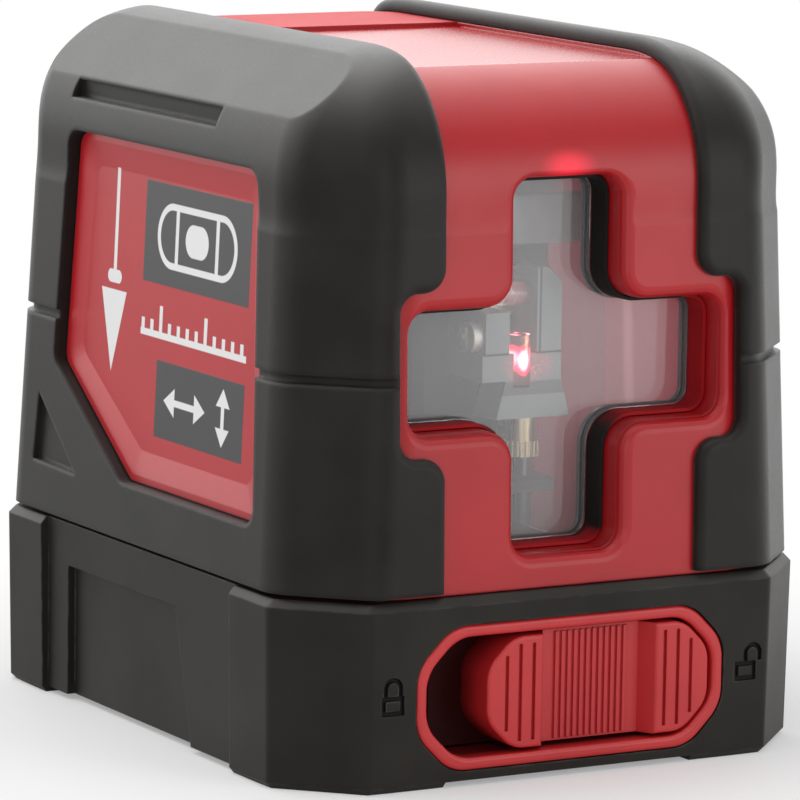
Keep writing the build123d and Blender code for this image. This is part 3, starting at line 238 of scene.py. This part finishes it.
class Finish:
    """A material in the making, with the piece's own coordinates in millimetres."""

    def __init__(self, name):
        self.material = bpy.data.materials.new(name)
        self.material.use_nodes = True
        self.tree = self.material.node_tree
        self.tree.nodes.clear()
        metres = self.add("ShaderNodeTexCoord", output="Object")
        scaling = {0: metres, "Scale": 1 / MM}
        self.place = self.add("ShaderNodeVectorMath", {"operation": "SCALE"}, scaling)
        self.x = self.add("ShaderNodeSeparateXYZ", sockets=(self.place,))
        self.y = self.x.other("Y")
        self.z = self.x.other("Z")

    def add(self, kind, settings=None, sockets=(), output=0):
        """Adds a node to this material."""
        return add_node(self.tree, kind, settings, sockets, output)

    def noise(self, size, detail=2.0, place=None):
        """Cloudy noise from 0 to 1 whose clouds have about this size in millimetres."""
        sockets = {"Vector": place or self.place, "Scale": 1 / size, "Detail": detail}
        return self.add("ShaderNodeTexNoise", sockets=sockets, output="Fac")

    def stretched(self, along):
        """The coordinates scaled along each axis, for brushed and turned grain."""
        return self.add("ShaderNodeVectorMath", {"operation": "MULTIPLY"}, (self.place, along))

    def spot(self, **axes):
        """1 in the middle of a spot and 0 outside it, from its middle and reach along each axis."""
        share = 1.0
        for axis, (middle, reach) in axes.items():
            offset = (getattr(self, axis) - middle) / reach
            share = share - offset * offset
        return share.most(0.0)

    def mix(self, share, first, second):
        """A colour between two colours."""
        rgba = [value if isinstance(value, Wire) else (*value, 1.0) for value in (first, second)]
        sockets = {0: share, 6: rgba[0], 7: rgba[1]}
        return self.add("ShaderNodeMix", {"data_type": "RGBA"}, sockets, output=2)

    def bevel(self, radius):
        """A normal that rounds the edges by a radius in millimetres."""
        return self.add("ShaderNodeBevel", {"samples": 4}, {"Radius": radius * MM})

    def rubbed(self, radius):
        """Up to 1 along edges, broken up as wear is, and 0 on open surfaces."""
        flat = self.add("ShaderNodeNewGeometry", output="Normal")
        pair = (self.bevel(radius), flat)
        turn = 1.0 - self.add("ShaderNodeVectorMath", {"operation": "DOT_PRODUCT"}, pair, "Value")
        along_edges = turn.step(0.03, 0.18)
        gaps = self.noise(2.2, detail=4.0).step(0.42, 0.62)
        return along_edges * gaps

    def bump(self, height, depth, normal=None):
        """A normal that raises the surface by a height from 0 to 1 times a depth in millimetres."""
        sockets = {"Distance": depth * MM, "Height": height}
        if normal:
            sockets["Normal"] = normal
        return self.add("ShaderNodeBump", sockets=sockets)

    def surface(self, **sockets):
        """Ends the material with a Principled shader and returns the material."""
        named = {name.replace("_", " "): value for name, value in sockets.items()}
        for name in ("Base Color", "Emission Color"):
            if name in named and not isinstance(named[name], Wire):
                named[name] = (*named[name], 1.0)
        shader = self.add("ShaderNodeBsdfPrincipled", sockets=named)
        self.add("ShaderNodeOutputMaterial", sockets={"Surface": shader})
        return self.material


def dress(material, *names):
    """Gives CAD nodes a finish."""
    for name in names:
        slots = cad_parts[name].data.materials
        slots.clear()
        slots.append(material)


def shaded(tone, share):
    """A colour made darker or brighter."""
    return [min(value * share, 1.0) for value in tone]


def moulded(
    name, main, dense, rough, grain_size, grain_depth, edge,
    shine=0.5, glow=None, stain_and_shade=None, painted_light=None, smooth=None, dull=None, wear=0.0,
):
    """Moulded plastic: slow changes of density, a fine spark-eroded grain and rounded edges."""
    finish = Finish(name)
    flow = finish.noise(11.0, detail=3.0)
    grain = finish.noise(grain_size)
    tone = finish.mix(flow.contrast(gain=1.6, drop=0.45), main, dense)
    roughness = rough + grain.swing(0.10) + flow.swing(0.08)
    height = grain * (1.0 - smooth(finish)) if smooth else grain
    if dull:
        roughness = roughness + dull(finish)
    # Painted light mixed into the tone where a mask says so
    if painted_light:
        tone = painted_light(finish, tone)
    if wear:
        tone = finish.mix(finish.rubbed(edge) * wear, tone, look().finishes.worn_edge)
    # Darkening where a mask says so: dark marks and part lines, and painted shade deep in recesses
    if stain_and_shade:
        tone = finish.mix(stain_and_shade(finish), tone, BLACK)
    sockets = {
        "Base_Color": tone,
        "Roughness": roughness,
        "Normal": finish.bump(height, grain_depth, finish.bevel(edge)),
        "Specular_IOR_Level": shine,
    }
    if glow:
        sockets["Emission_Color"] = glow(finish)
        sockets["Emission_Strength"] = 1.0
    return finish.surface(**sockets)


def metal(
    name, tone, rough, streak_size, edge, along=EVEN_GRAIN, depth=0.003, glow=None, stain_and_shade=None
):
    """Metal with streaks along the way it was worked, and duller patches."""
    finish = Finish(name)
    streaks = finish.noise(streak_size, detail=3.0, place=finish.stretched(along))
    patches = finish.noise(3.0, detail=3.0)
    colour_over = finish.mix(patches.contrast(gain=1.5, drop=0.4), tone, shaded(tone, 0.78))
    if stain_and_shade:
        colour_over = finish.mix(stain_and_shade(finish), colour_over, BLACK)
    sockets = {
        "Base_Color": colour_over,
        "Metallic": 1.0,
        "Roughness": rough + streaks.swing(0.16) + patches.swing(0.10),
        "Normal": finish.bump(streaks, depth, finish.bevel(edge)),
    }
    if glow:
        sockets["Emission_Color"] = glow(finish)
        sockets["Emission_Strength"] = 1.0
    return finish.surface(**sockets)


def filled(distance):
    """1 inside an outline and 0 outside it, from the distance inside its edge."""
    return distance.step(-PRINT_EDGE, PRINT_EDGE)


def band(u, low, high):
    """A band between two limits."""
    return filled((u - low).least(high - u))


def stripe(u, middle, half_width):
    """A line along one value."""
    return filled(half_width - abs(u - middle))


def panel(u, v, left, right, low, high):
    """A rectangle."""
    inside = (u - left).least(right - u).least((v - low).least(high - v))
    return filled(inside)


def pill(u, v, left, right, middle, radius):
    """A bar with round ends."""
    along = u - u.within(left, right)
    up = v - middle
    return filled(radius - (along * along + up * up) ** 0.5)


def wedge(along, across, tip, end, half_width):
    """A triangle from its tip to its straight end."""
    way = 1.0 if end > tip else -1.0
    inside = (along - tip) * (half_width / (end - tip)) - abs(across)
    return filled(inside.least((end - along) * way))


def housing_glow(finish):
    """Painted laser light on the lip over the window and on the inner wall on the right, with a
    painted highlight stripe on that wall.
    """
    tones = look().finishes
    lip_strength, wall_strength, highlight_strength = 0.7, 0.17, 0.16
    lip = finish.spot(x=(-0.2, 4.0), y=(-35.6, 2.4), z=(61.6, 2.4))
    lit_lip = finish.mix(lip * lip * lip_strength, BLACK, tones.laser_red)
    inside = panel(
        finish.x, finish.y, left=21.0, right=INNER_HALF_WIDTH, low=-INNER_HALF_DEPTH, high=4.0
    )
    wall = inside * finish.spot(z=(LASER_BEAM, 20.0))
    lit_wall = finish.mix(wall * wall_strength, lit_lip, tones.laser_stray)
    # A painted highlight: a bright upright stripe on the inner wall
    highlight_stripe = finish.spot(y=(-5.3, 1.3))
    return finish.mix(wall * highlight_stripe * highlight_strength, lit_wall, tones.laser_core)


def polished_inside(finish):
    """1 on the housing's inner walls, which are smoother than its outside."""
    depth = INNER_HALF_DEPTH
    between = panel(
        abs(finish.x), finish.y, left=-1.0, right=INNER_HALF_WIDTH, low=-depth, high=depth
    )
    under_crown = 1.0 - finish.z.step(66.0, 67.0)
    return between * under_crown


def top_dullness(finish):
    """How much duller the housing's top is: less where it is sunk, more on the strip behind that."""
    gloss_of_sunk_top, dullness_of_strip = 0.11, 0.38
    top = finish.z.step(71.03, 71.08)
    behind = finish.y.step(13.3, 13.6)
    return top * (behind * dullness_of_strip - gloss_of_sunk_top)


class DressHousing(Operator):
    """Red moulded housing, with laser light on the lip of its window and inside it"""

    bl_idname = "line_laser.dress_housing"
    bl_label = "Housing"

    def execute(self, context):
        """Gives the housing its finish."""
        tones = look().finishes
        red = moulded(
            "housing_red", tones.red_plastic, tones.deep_red,
            rough=0.38, grain_size=0.30, grain_depth=0.003, edge=0.25, shine=0.40,
            glow=housing_glow, smooth=polished_inside, dull=top_dullness,
        )
        dress(red, "main_housing")
        return {"FINISHED"}


class DressRubberCovers(Operator):
    """Soft black covers with a dull bloom"""

    bl_idname = "line_laser.dress_rubber_covers"
    bl_label = "Rubber covers"

    def execute(self, context):
        """Gives both covers their finish."""
        tones = look().finishes
        finish = Finish("soft_rubber")
        bloom = finish.noise(7.0, detail=4.0)
        grain = finish.noise(0.28, detail=3.0)
        bloomed = bloom.contrast(gain=2.2, drop=0.7)
        rubber = finish.surface(
            Base_Color=finish.mix(bloomed, tones.rubber, tones.rubber_bloom),
            Roughness=0.43 + grain.swing(0.14) + bloom.swing(0.10),
            Specular_IOR_Level=0.19,
            Sheen_Weight=0.12,
            Sheen_Roughness=0.35,
            Normal=finish.bump(grain, depth=0.010, normal=finish.bevel(0.7)),
        )
        dress(rubber, "left_rubber_cover", "right_rubber_cover")
        return {"FINISHED"}


class DressLabelPlates(Operator):
    """Red plates with printed pictograms: a plumb line, a spirit vial, a scale and arrows"""

    bl_idname = "line_laser.dress_label_plates"
    bl_label = "Label plates"

    def execute(self, context):
        """Prints both plates alike."""
        tones = look().finishes
        sizes = look().label
        line = sizes.pin_stripe / MM
        finish = Finish("printed_plate")
        u = 0.0 - finish.y
        v = finish.z - sizes.foot / MM
        vial_panel = panel(u, v, left=-4.5, right=19.0, low=27.0, high=37.5)
        arrow_panel = panel(u, v, left=-0.5, right=19.0, low=11.2, high=19.2)
        dark = vial_panel.most(arrow_panel)
        white = self.vial(u, v, line)
        white = white.most(self.plumb_line(u, v, line))
        white = white.most(self.scale(u, v, line, sizes.tick_pitch / MM))
        white = white.most(self.arrows(u, v, line))
        grain = finish.noise(0.25)
        density = finish.noise(8.0, detail=3.0) * 0.4
        inked = finish.mix(density, tones.label_red, tones.deep_red)
        inked = finish.mix(dark, inked, tones.ink_dark)
        inked = finish.mix(white, inked, tones.ink_white)
        ink_height = dark.most(white) * 0.8 + grain * 0.2
        printed = finish.surface(
            Base_Color=inked,
            Roughness=0.30 + grain.swing(0.08) + dark * 0.06,
            Specular_IOR_Level=0.44,
            Normal=finish.bump(ink_height, depth=0.006, normal=finish.bevel(0.2)),
        )
        dress(printed, "left_label_plate", "right_label_plate")
        return {"FINISHED"}

    def vial(self, u, v, line):
        """A spirit vial with its bubble between two marks."""
        centre, middle = 7.25, 32.2
        radius, mark, mark_height = 3.4, 4.1, 3.2
        ends = {"left": 1.8, "right": 12.7, "middle": middle}
        tube = pill(u, v, **ends, radius=radius)
        hollow = pill(u, v, **ends, radius=radius - line)
        bubble = pill(u, v, left=6.4, right=8.1, middle=middle, radius=1.7)
        marks = panel(
            abs(u - centre), v,
            left=mark, right=mark + line, low=middle - mark_height, high=middle + mark_height,
        )
        return (tube - hollow).most(bubble).most(marks)

    def plumb_line(self, u, v, line):
        """A plumb bob on its line."""
        across = u + 11.0
        cord = panel(across, v, left=-line / 2, right=line / 2, low=26.0, high=38.0)
        collar = pill(across, v, left=-0.9, right=0.9, middle=26.6, radius=0.7)
        bob = wedge(v, across, tip=16.6, end=25.2, half_width=2.9)
        return cord.most(collar).most(bob)

    def scale(self, u, v, line, pitch):
        """A scale whose fifth ticks are longer."""
        foot, short_top, long_top = 21.4, 23.2, 24.8
        span = panel(u, v, left=-4.5, right=19.0, low=foot, high=long_top)
        short = filled(line / 2 - u.off_grid(pitch)) * filled(short_top - v)
        long = filled(line / 2 - u.off_grid(5 * pitch))
        rail = filled(foot + line - v)
        return short.most(long).most(rail) * span

    def arrows(self, u, v, line):
        """A level arrow and an upright one, each with two heads."""
        up = v - 15.2
        level = panel(u, up, left=2.6, right=9.4, low=-line / 2, high=line / 2)
        level_heads = wedge(abs(u - 6.0), up, tip=4.6, end=2.2, half_width=1.5)
        across = u - 14.5
        upright = panel(across, up, left=-line / 2, right=line / 2, low=-1.6, high=1.6)
        upright_heads = wedge(abs(up), across, tip=3.0, end=1.1, half_width=1.5)
        return level.most(level_heads).most(upright).most(upright_heads)


def painted_red_light(finish, tone):
    """Painted red light from the walls beside them, on the seal's right end and lower sides."""
    right_end = finish.x.step(14.6, 16.2)
    under_arms = (1.0 - finish.z.step(35.9, 36.4)) * abs(finish.x).step(6.4, 9.0)
    under_foot = 1.0 - finish.z.step(23.3, 24.2)
    ahead = 1.0 - finish.y.step(-30.5, -30.0)
    lower = under_arms.most(under_foot) * ahead
    return finish.mix(right_end.most(lower), tone, look().finishes.deep_red)


class DressWindow(Operator):
    """Clear pane on a dark seal, whose black is partly painted shade and whose sides carry painted red
    light
    """

    bl_idname = "line_laser.dress_window"
    bl_label = "Window"

    def execute(self, context):
        """Gives the pane and its seals their finishes."""
        tones = look().finishes
        clear = Finish("clear_pane")
        smear = clear.noise(6.0, detail=4.0)
        pane = clear.surface(
            Base_Color=(0.93, 0.94, 0.95),
            Roughness=(smear - 0.45).within(0.0, 1.0) * 0.04,
            Transmission_Weight=0.915,
            IOR=1.5,
        )
        dress(pane, "window_pane")
        # The pane casts no shadow, so that light reaches what stands behind it
        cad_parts["window_pane"].visible_shadow = False
        look_of_seal = {
            "main": tones.rubber, "dense": tones.rubber_bloom,
            "rough": 0.7, "grain_size": 0.3, "grain_depth": 0.01, "edge": 0.1, "shine": 0.2,
        }
        dress(moulded("dark_seal", **look_of_seal), "window_gasket", "brake_pad")
        # The window seal's black is painted shade where the tunnel beside the pane lies deep in shade;
        # painted red light covers its right end and lower sides
        dress(moulded("seal_painted_red_light", **look_of_seal, painted_light=painted_red_light), "window_seal")
        return {"FINISHED"}


def padlock_marks(finish):
    """Dark floors of the two padlock marks in the base's front."""
    sunk = finish.y.step(-37.24, -37.16) * (1.0 - finish.y.step(-36.9, -36.8))
    beside = panel(abs(finish.x), finish.z, left=19.0, right=22.9, low=6.0, high=13.0)
    return sunk * beside


class DressBase(Operator):
    """Black moulded base and battery door"""

    bl_idname = "line_laser.dress_base"
    bl_label = "Base"

    def execute(self, context):
        """Gives the base, the door and the small black mouldings their finish."""
        tones = look().finishes
        black = {"main": tones.black_plastic, "dense": tones.rubber, "shine": 0.15}
        coarse = {"rough": 0.46, "grain_size": 0.26, "grain_depth": 0.008, "edge": 0.3}
        fine = {"rough": 0.5, "grain_size": 0.2, "grain_depth": 0.006, "edge": 0.1}
        marked = moulded("base_black", **black, **coarse, stain_and_shade=padlock_marks, wear=0.5)
        dress(marked, "base_shell")
        dress(moulded("door_black", **black, **coarse, wear=0.4), "battery_door")
        small = moulded("small_black", **black, **fine)
        dress(small, "power_switch", "switch_knob", "board_components")
        return {"FINISHED"}


def shaded_recess(finish):
    """Painted shade on the bezel's inner walls, darker the deeper they lie."""
    return finish.y.step(-36.8, -35.2) * 0.8


def shaded_sides(finish):
    """Painted shade on the slider's sides, darker where they lie deep in the bezel."""
    return finish.y.step(-35.2, -32.2) * 0.6


class DressSwitch(Operator):
    """Red bezel and slider, and the carriage behind them, whose very dark red is painted shade"""

    bl_idname = "line_laser.dress_switch"
    bl_label = "Lock switch"

    def execute(self, context):
        """Gives the switch's mouldings their finishes."""
        tones = look().finishes
        look_of_switch = {
            "main": tones.switch_red, "dense": tones.red_plastic,
            "rough": 0.40, "grain_size": 0.24, "grain_depth": 0.005, "edge": 0.12,
        }
        dress(moulded("slider_red", **look_of_switch, stain_and_shade=shaded_sides), "lock_slider")
        dress(moulded("bezel_red", **look_of_switch, stain_and_shade=shaded_recess), "switch_bezel")
        # The carriage's red is darkened to painted shade, as it lies deep behind the slider
        dark = moulded(
            "carriage_painted_shade", tones.carriage_red_in_shade, shaded(tones.carriage_red_in_shade, 0.7),
            rough=0.5, grain_size=0.2, grain_depth=0.006, edge=0.1, shine=0.1,
        )
        dress(dark, "slider_carriage")
        return {"FINISHED"}


def holder_joints_and_shade(finish):
    """Dark part lines on the lens holder's front, and painted shade on the neck under its crossbar."""
    half_width, seam = 0.12, 41.5
    front = 1.0 - finish.y.step(-25.5, -25.3)
    post_line = stripe(finish.x, 2.1, half_width) * finish.z.step(seam - 0.1, seam)
    bar_line = stripe(finish.z, seam, half_width) * abs(finish.x).step(1.5, 1.6)
    painted_neck_shade = band(finish.z, 37.2, 38.6) * 0.6
    return front * post_line.most(bar_line).most(painted_neck_shade)


def scattered_light(finish):
    """Speckle of laser light on the lens holder beside the lit lens."""
    haze, sparkle = 0.10, 0.7
    low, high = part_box("horizontal_line_lens")
    beside = (low.x + high.x) / 2 / MM + 0.8
    fall = finish.spot(x=(beside, 3.4), z=(LASER_BEAM - 0.6, 1.9))
    speckle = finish.noise(SPECKLE, detail=3.0).step(0.48, 0.72)
    return finish.mix(fall * (haze + speckle * sparkle), BLACK, look().finishes.laser_red)


class DressGreyMouldings(Operator):
    """Grey lens holder, deck and brake"""

    bl_idname = "line_laser.dress_grey_mouldings"
    bl_label = "Grey mouldings"

    def execute(self, context):
        """Gives the grey mouldings their finishes."""
        tones = look().finishes
        look_of_grey = {
            "main": tones.grey_plastic, "dense": shaded(tones.grey_plastic, 0.75),
            "rough": 0.48, "grain_size": 0.22, "grain_depth": 0.006, "edge": 0.12,
        }
        dress(moulded("grey_moulding", **look_of_grey), "inner_deck", "brake_plate")
        lit = moulded("lit_grey", **look_of_grey, glow=scattered_light, stain_and_shade=holder_joints_and_shade)
        dress(lit, "lens_holder")
        return {"FINISHED"}


def darker_arms(finish):
    """The yoke's arms, darkened below its crosspiece."""
    return (1.0 - finish.z.step(51.6, 52.0)) * 0.93


def stray_light(finish):
    """Laser light that strays from the lit lens on to the yoke's right arm."""
    strength = 0.15
    right_arm = finish.x.step(9.0, 13.0)
    lit = right_arm * finish.spot(z=(LASER_BEAM, 26.0))
    return finish.mix(lit * strength, BLACK, look().finishes.laser_stray)


class DressMetals(Operator):
    """Die castings, screws, pins, brass and contacts"""

    bl_idname = "line_laser.dress_metals"
    bl_label = "Metal pieces"

    def execute(self, context):
        """Gives every metal piece its finish."""
        tones = look().finishes
        blasted = {"rough": 0.50, "streak_size": 0.25, "edge": 0.6, "depth": 0.001}
        dress(metal("die_casting", tones.die_cast, **blasted), "gimbal_ring")
        lit = metal("lit_casting", tones.die_cast, **blasted, glow=stray_light, stain_and_shade=darker_arms)
        dress(lit, "gimbal_yoke")
        paint = moulded(
            "dark_paint", tones.dark_paint, tones.rubber,
            rough=0.55, grain_size=0.25, grain_depth=0.006, edge=0.15, shine=0.15,
        )
        dress(paint, "pendulum_body")
        dull = metal("dull_zinc", tones.pale_zinc, rough=0.62, streak_size=0.4, edge=0.2)
        dress(dull, "holder_screw")
        lengthwise = (1.0, 1.0, 6.0)
        steel = metal(
            "plated_steel", tones.steel, rough=0.32, streak_size=0.5, edge=0.06, along=lengthwise
        )
        dress(steel, "base_screws", "yoke_screws", "bracket_screws", "board_screws", "carriage_screws")
        dress(steel, "door_hinge_pin", "pitch_pins", "roll_pin", "brake_posts")
        dress(steel, "pitch_bearings", "roll_bearings", "magnet_bracket")
        turned = (0.3, 8.0, 0.3)
        brass = metal(
            "turned_brass", tones.brass, rough=0.28, streak_size=0.6, edge=0.06, along=turned
        )
        dress(brass, "horizontal_laser_barrel", "vertical_laser_barrel")
        dress(brass, "balance_screw", "counterweight", "tripod_insert")
        rolled = (5.0, 0.4, 1.0)
        copper = metal(
            "rolled_copper", tones.copper, rough=0.35, streak_size=0.5, edge=0.08, along=rolled
        )
        dress(copper, "damper_plate")
        nickel = metal("nickel_plate", tones.nickel, rough=0.22, streak_size=0.6, edge=0.06)
        dress(nickel, "battery_contacts", "door_contact_strip", "damper_magnets")
        return {"FINISHED"}


class DressLenses(Operator):
    """Rod lenses, the lower one lit by its laser"""

    bl_idname = "line_laser.dress_lenses"
    bl_label = "Line lenses"

    def execute(self, context):
        """Gives both lenses glass with the glow of a laser beam in it."""
        low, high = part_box("horizontal_line_lens")
        middle = (low.x + high.x) / 2 / MM
        lit = self.lit_glass("lit_lens", middle, LASER_BEAM, reach=0.99, strength=6.0)
        dress(lit, "horizontal_line_lens")
        faint = self.lit_glass("upper_lens", 0.0, UPPER_BEAM, reach=1.98, strength=0.12)
        dress(faint, "vertical_line_lens")
        return {"FINISHED"}

    def lit_glass(self, name, middle, beam, reach, strength):
        """Glass with a bright core where the beam crosses it."""
        tones = look().finishes
        finish = Finish(name)
        fall = finish.spot(x=(middle, reach), z=(beam, 1.7))
        core = fall.contrast(gain=1.6, drop=0.75)
        glow = finish.mix(core, tones.laser_red, tones.laser_core)
        speckle = finish.noise(SPECKLE, detail=3.0)
        return finish.surface(
            Base_Color=(0.95, 0.93, 0.93),
            Roughness=0.04,
            Transmission_Weight=1.0,
            IOR=1.52,
            Emission_Color=finish.mix(fall * (0.4 + speckle), BLACK, glow),
            Emission_Strength=strength,
        )


class DressElectrics(Operator):
    """Driver board and cells"""

    bl_idname = "line_laser.dress_electrics"
    bl_label = "Board and cells"

    def execute(self, context):
        """Gives the board and the cells their finishes."""
        dress(self.board(), "driver_board")
        dress(self.wrapped_cell("left_wrap", 1.0), "left_cell")
        dress(self.wrapped_cell("right_wrap", -1.0), "right_cell")
        return {"FINISHED"}

    def board(self):
        """Solder mask over copper tracks."""
        green = look().finishes.board_green
        finish = Finish("solder_mask")
        pitch, half_width = 1.6, 0.3
        wander = finish.noise(5.0, detail=0.0)
        tracks = filled(half_width - finish.x.off_grid(pitch)) * filled(wander - 0.47)
        return finish.surface(
            Base_Color=finish.mix(tracks, green, shaded(green, 1.9)),
            Roughness=0.34 + finish.noise(0.4).swing(0.1),
            Normal=finish.bump(tracks, depth=0.02),
        )

    def wrapped_cell(self, name, nub_side):
        """A printed film between two bright ends."""
        tones = look().finishes
        low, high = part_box("left_cell" if nub_side > 0 else "right_cell")
        front = low.y / MM if nub_side > 0 else high.y / MM
        finish = Finish(name)
        along = (finish.y - front) * nub_side
        film = band(along, 0.9, 48.4)
        ring_half = 0.35
        rings = stripe(along, 34.8, ring_half).most(stripe(along, 33.4, ring_half))
        pale = band(along, 37.0, 45.0).most(rings)
        wrap = finish.mix(pale, tones.cell_wrap, tones.cell_band)
        scuffs = finish.noise(0.8, detail=4.0)
        return finish.surface(
            Base_Color=finish.mix(film, tones.nickel, wrap),
            Metallic=1.0 - film,
            Roughness=0.24 + scuffs.swing(0.16),
            Normal=finish.bump(scuffs, depth=0.002),
        )


def lamp(name, place, aim, size, power):
    """A square soft box that faces a point."""
    data = bpy.data.lights.new(name, "AREA")
    data.size = size
    data.energy = power
    made = bpy.data.objects.new(name, data)
    bpy.context.collection.objects.link(made)
    made.location = place
    made.rotation_euler = (Vector(aim) - Vector(place)).to_track_quat("-Z", "Y").to_euler()


class SetStage(Operator):
    """Pale floor, white surroundings, soft boxes and the camera"""

    bl_idname = "line_laser.set_stage"
    bl_label = "Stage"

    def execute(self, context):
        """Makes the stage round the object."""
        scene = context.scene
        scene.view_settings.view_transform = "Standard"
        stage = look().stage
        self.floor(stage)
        self.surroundings(scene)
        aim = (0.0, 0.0, 0.04)
        # Name, place and width in metres, and power of each soft box
        boxes = (
            ("top_box", (-0.10, 0.22, 0.52), 0.50, stage.top_power),
            ("front_box", (-0.31, -0.60, 0.15), 0.30, stage.front_power),
            ("right_box", (0.29, -0.52, 0.13), 0.25, stage.right_power),
            ("side_box", (-0.60, 0.10, 0.25), 0.35, stage.side_power),
        )
        for name, place, size, power in boxes:
            lamp(name, place, aim, size, power)
        scene.camera = self.camera(stage)
        return {"FINISHED"}

    def seen(self, tree):
        """1 for rays that show the surroundings and 0 for rays that only light the object."""
        path = add_node(tree, "ShaderNodeLightPath", output="Is Camera Ray")
        return path.most(path.other("Is Glossy Ray")).most(path.other("Is Transmission Ray"))

    def floor(self, stage):
        """A round floor that keeps the shadow near the object and turns white further out."""
        shape = bmesh.new()
        bmesh.ops.create_circle(shape, cap_ends=True, radius=stage.floor_radius, segments=96)
        mesh = bpy.data.meshes.new("studio_floor")
        shape.to_mesh(mesh)
        shape.free()
        floor = bpy.data.objects.new("studio_floor", mesh)
        bpy.context.collection.objects.link(floor)
        pale = Finish("studio_floor")
        away = (pale.x * pale.x + pale.y * pale.y) ** 0.5
        edge = stage.shadow_radius / MM
        nearby = 0.3
        fade = nearby + away.step(edge * 0.4, edge) * (1.0 - nearby)
        diffuse = pale.add("ShaderNodeBsdfDiffuse", sockets={"Color": (0.92, 0.92, 0.92, 1.0)})
        # Mirrored in the object, the floor is dimmer on the left and brighter on the right
        strengths = (1.0, 0.7, 1.7)
        white, dim, bright = (
            pale.add("ShaderNodeEmission", sockets={"Strength": strength}) for strength in strengths
        )
        rightwards = pale.x.step(0.0, 200.0)
        reflected = pale.add("ShaderNodeMixShader", sockets=(rightwards, dim, bright))
        mirrored = pale.add("ShaderNodeLightPath", output="Is Glossy Ray")
        shown = pale.add("ShaderNodeMixShader", sockets=(mirrored, white, reflected))
        share = fade * self.seen(pale.tree)
        mixed = pale.add("ShaderNodeMixShader", sockets=(share, diffuse, shown))
        pale.add("ShaderNodeOutputMaterial", sockets={"Surface": mixed})
        mesh.materials.append(pale.material)

    def surroundings(self, scene):
        """White for what is seen, softer white as light, and a bright backdrop in what is mirrored."""
        world = bpy.data.worlds.new("studio")
        world.use_nodes = True
        tree = world.node_tree
        tree.nodes.clear()
        towards = add_node(tree, "ShaderNodeTexCoord", output="Generated")
        rightwards = add_node(tree, "ShaderNodeSeparateXYZ", sockets=(towards,))
        backwards = rightwards.other("Y")
        upwards = rightwards.other("Z")
        right = rightwards.step(0.0, 0.4)
        high = upwards.step(0.1, 0.5)
        # The backdrop is brighter higher up, and low down it is dimmer on the right
        low_level = 1.9 - right
        rise = 1.2 + right * 0.9
        backdrop = backwards.step(-0.5, 0.5) * (low_level + high * rise)
        overhead = upwards.step(0.6, 0.95) * 1.8
        even_light = 0.57
        path = add_node(tree, "ShaderNodeLightPath", output="Is Camera Ray")
        mirrored = path.other("Is Glossy Ray")
        strength = (even_light + mirrored * (backdrop + overhead)) * (1.0 - path) + path
        sockets = {"Color": (1.0, 1.0, 1.0, 1.0), "Strength": strength}
        light = add_node(tree, "ShaderNodeBackground", sockets=sockets)
        add_node(tree, "ShaderNodeOutputWorld", sockets={"Surface": light})
        scene.world = world

    def camera(self, stage):
        """The camera at the viewing angle of the object's portrait."""
        turn = stage.azimuth
        rise = stage.elevation
        level = math.cos(rise)
        back = Vector((-math.sin(turn) * level, -math.cos(turn) * level, math.sin(rise)))
        right = Vector((math.cos(turn), -math.sin(turn), 0.0))
        up = back.cross(right)
        tipped_right = right * math.cos(stage.roll) + up * math.sin(stage.roll)
        tipped_up = up * math.cos(stage.roll) - right * math.sin(stage.roll)
        place = Vector((0.0, 0.0, stage.aim_height)) + back * stage.distance
        place += tipped_right * stage.aim_across + tipped_up * stage.aim_up
        data = bpy.data.cameras.new("portrait")
        data.lens = stage.focal
        data.clip_start = stage.distance / 10
        data.clip_end = stage.distance * 100
        camera = bpy.data.objects.new("portrait", data)
        bpy.context.collection.objects.link(camera)
        turned = Matrix((tipped_right, tipped_up, back)).transposed().to_4x4()
        camera.matrix_world = Matrix.Translation(place) @ turned
        return camera


PIECES = (
    DressHousing,
    DressRubberCovers,
    DressLabelPlates,
    DressWindow,
    DressBase,
    DressSwitch,
    DressGreyMouldings,
    DressMetals,
    DressLenses,
    DressElectrics,
    SetStage,
)


class LaserPanel(Panel):
    """Lists the operators and the settings"""

    bl_idname = "VIEW3D_PT_line_laser"
    bl_label = "Line Laser"
    bl_space_type = "VIEW_3D"
    bl_region_type = "UI"
    bl_category = "Line Laser"

    def draw(self, context):
        """Draws a button for each operator and a field for each setting."""
        for piece in PIECES:
            self.layout.operator(piece.bl_idname)
        settings = context.scene.line_laser
        for group in (settings.finishes, settings.label, settings.stage):
            column = self.layout.box().column()
            for name in group.__annotations__:
                column.prop(group, name)


CLASSES = (FinishColours, LabelSizes, StageSizes, LaserLook, *PIECES, LaserPanel)


def register():
    """Makes the classes and the settings known."""
    for kind in CLASSES:
        bpy.utils.register_class(kind)
    bpy.types.Scene.line_laser = PointerProperty(type=LaserLook)


def unregister():
    """Takes the settings and the classes away again."""
    del bpy.types.Scene.line_laser
    for kind in reversed(CLASSES):
        bpy.utils.unregister_class(kind)


def main():
    """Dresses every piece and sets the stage."""
    register()
    bpy.ops.line_laser.dress_housing()
    bpy.ops.line_laser.dress_rubber_covers()
    bpy.ops.line_laser.dress_label_plates()
    bpy.ops.line_laser.dress_window()
    bpy.ops.line_laser.dress_base()
    bpy.ops.line_laser.dress_switch()
    bpy.ops.line_laser.dress_grey_mouldings()
    bpy.ops.line_laser.dress_metals()
    bpy.ops.line_laser.dress_lenses()
    bpy.ops.line_laser.dress_electrics()
    bpy.ops.line_laser.set_stage()
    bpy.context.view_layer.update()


if __name__ == "__main__":
    main()
